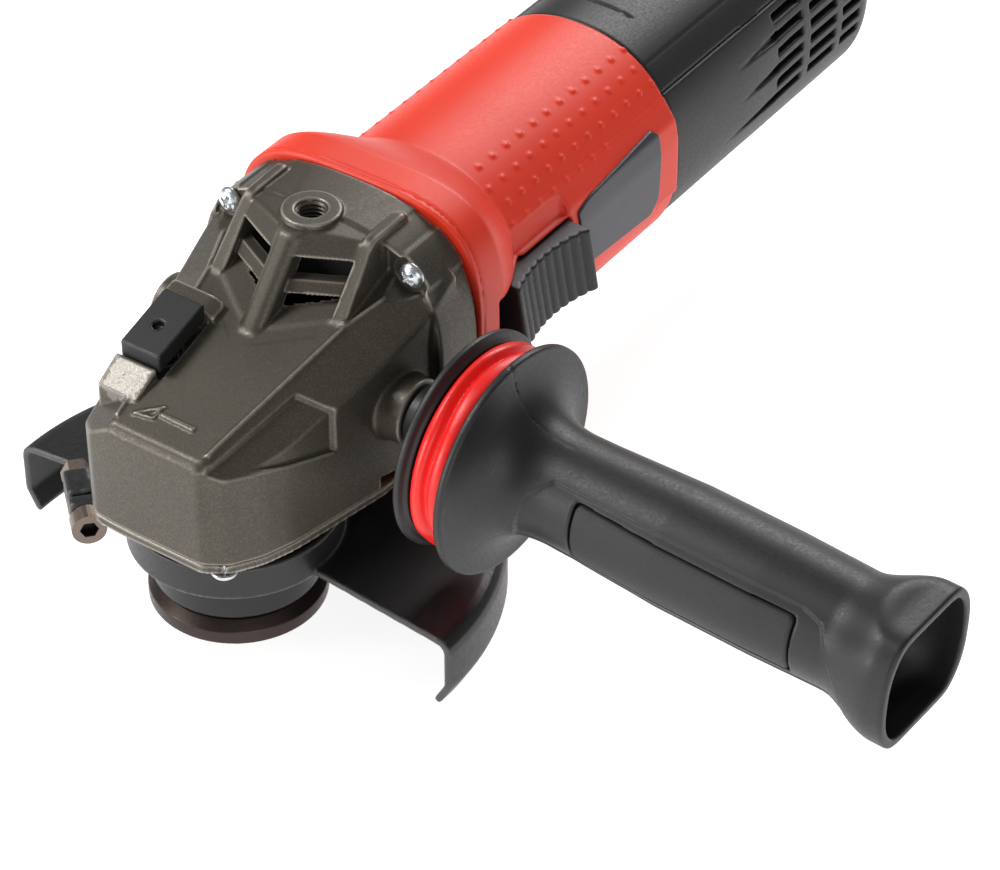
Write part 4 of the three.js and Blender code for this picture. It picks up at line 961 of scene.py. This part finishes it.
skin("handle_damper_skin", damper, (16, -31, -31), (30, 31, 31), FINE,
     "body", "damper", ["handle_damper"], HANDLE)
HANDLE_FLANGE = [
    (4.3, 0.4), (8.4, 0.4), (9, 9), (11.6, 12.6), (28.8, 13.6), (30, 14.4), (30, 15.8), (28.4, 16.4),
    (27.6, 17.3), (4.3, 17.3),
]
lathe("handle_inner_flange_skin", HANDLE_FLANGE, "x",
      "body", "black", ["handle_inner_flange"], HANDLE)
skin("guard_skin", guard, (-75, -42, 1), (75, 75, 41), FINE * 1.1,
     "guard_group", "guard", ["guard"])
skin("bearing_plate_skin", bearing_plate, (-37, -34, 38), (37, 37, 46), FINE,
     "body", "cast", ["bearing_flange"])
skin("bearing_neck_skin", bearing_neck, (-29, -29, 14), (29, 29, 43), FINE,
     "body", "neck", ["bearing_flange"])
skin("gasket_skin", gasket, (-36, -33, 42), (36, 36, 46), FINE,
     "body", "gasket", ["bearing_flange"])
skin("lock_button_skin", lock_button, (-26, -15, 76), (-9, 9, 96), FINE * 0.7,
     "lock", "black", ["lock_button"])
THREAD_FOOT, THREAD_PITCH, THREAD_TURNS = 100.6, 1.25, 7
for i in range(THREAD_TURNS):
    low = THREAD_FOOT + THREAD_PITCH * i
    ring = [(4.5, low), (4.0, low), (3.4, low + 0.5), (3.4, low + 0.75), (4.0, low + 1.24), (4.5, low + 1.24)]
    lathe(f"top_thread_{i + 1}", ring, "z", "body", "cast", ["gear_housing"],
          Matrix.Translation((0, TOP_BOSS_Y, 0)), 0.1, 64)
INNER_FLANGE = [(7.1, 9), (20.6, 9), (20.6, 8.6), (24.2, 8.6), (24.2, 12.4), (21.6, 15.2), (7.1, 15.2)]
lathe("inner_flange_skin", INNER_FLANGE, "z", "spindle_group", "oxide", ["inner_flange"])
# Each spring is fixed at its anchor, given in millimetres.
coil("lock_spring_coil", 3.6, 0.4, 13.2, 5, "body", ["lock_spring"], Matrix.Translation((*LOCK, 70.2)))
BRUSH_Y = 152
for side, sign in (("right", 1), ("left", -1)):
    place = Matrix.Translation((20.85 * sign, BRUSH_Y, MOTOR_Z)) @ Matrix.Rotation(sign * math.pi / 2, 4, "Y")
    coil(f"brush_spring_{side}_coil", 2.2, 0.3, 5.9, 4, "body", [f"brush_spring_{side}"], place)
head_down = Matrix.Rotation(math.pi, 4, "X")
head_front = Matrix.Rotation(math.pi / 2, 4, "X")
SCREW_FACE = 40.9  # z of the flange screws' heads, y of the corner screws' heads
for i, (sx, sy) in enumerate(FLANGE_SCREWS, 1):
    place = Matrix.Translation((sx, sy, SCREW_FACE)) @ head_down @ Matrix.Rotation(0.4 * i, 4, "Z")
    skin(f"flange_screw_{i}_skin", pan_head, (-5, -5, -7), (5, 5, 4), FINE * 0.4,
         "body", "zinc", [f"flange_screw_{i}"], place)
for i, (sx, sz) in enumerate(CORNER_SCREWS, 1):
    place = Matrix.Translation((sx, SCREW_FACE, sz)) @ head_front @ Matrix.Rotation(0.3 + 0.5 * i, 4, "Z")
    skin(f"housing_screw_{i}_skin", pan_head, (-5, -5, -7), (5, 5, 4), FINE * 0.4,
         "body", "zinc", [f"housing_screw_{i}"], place)
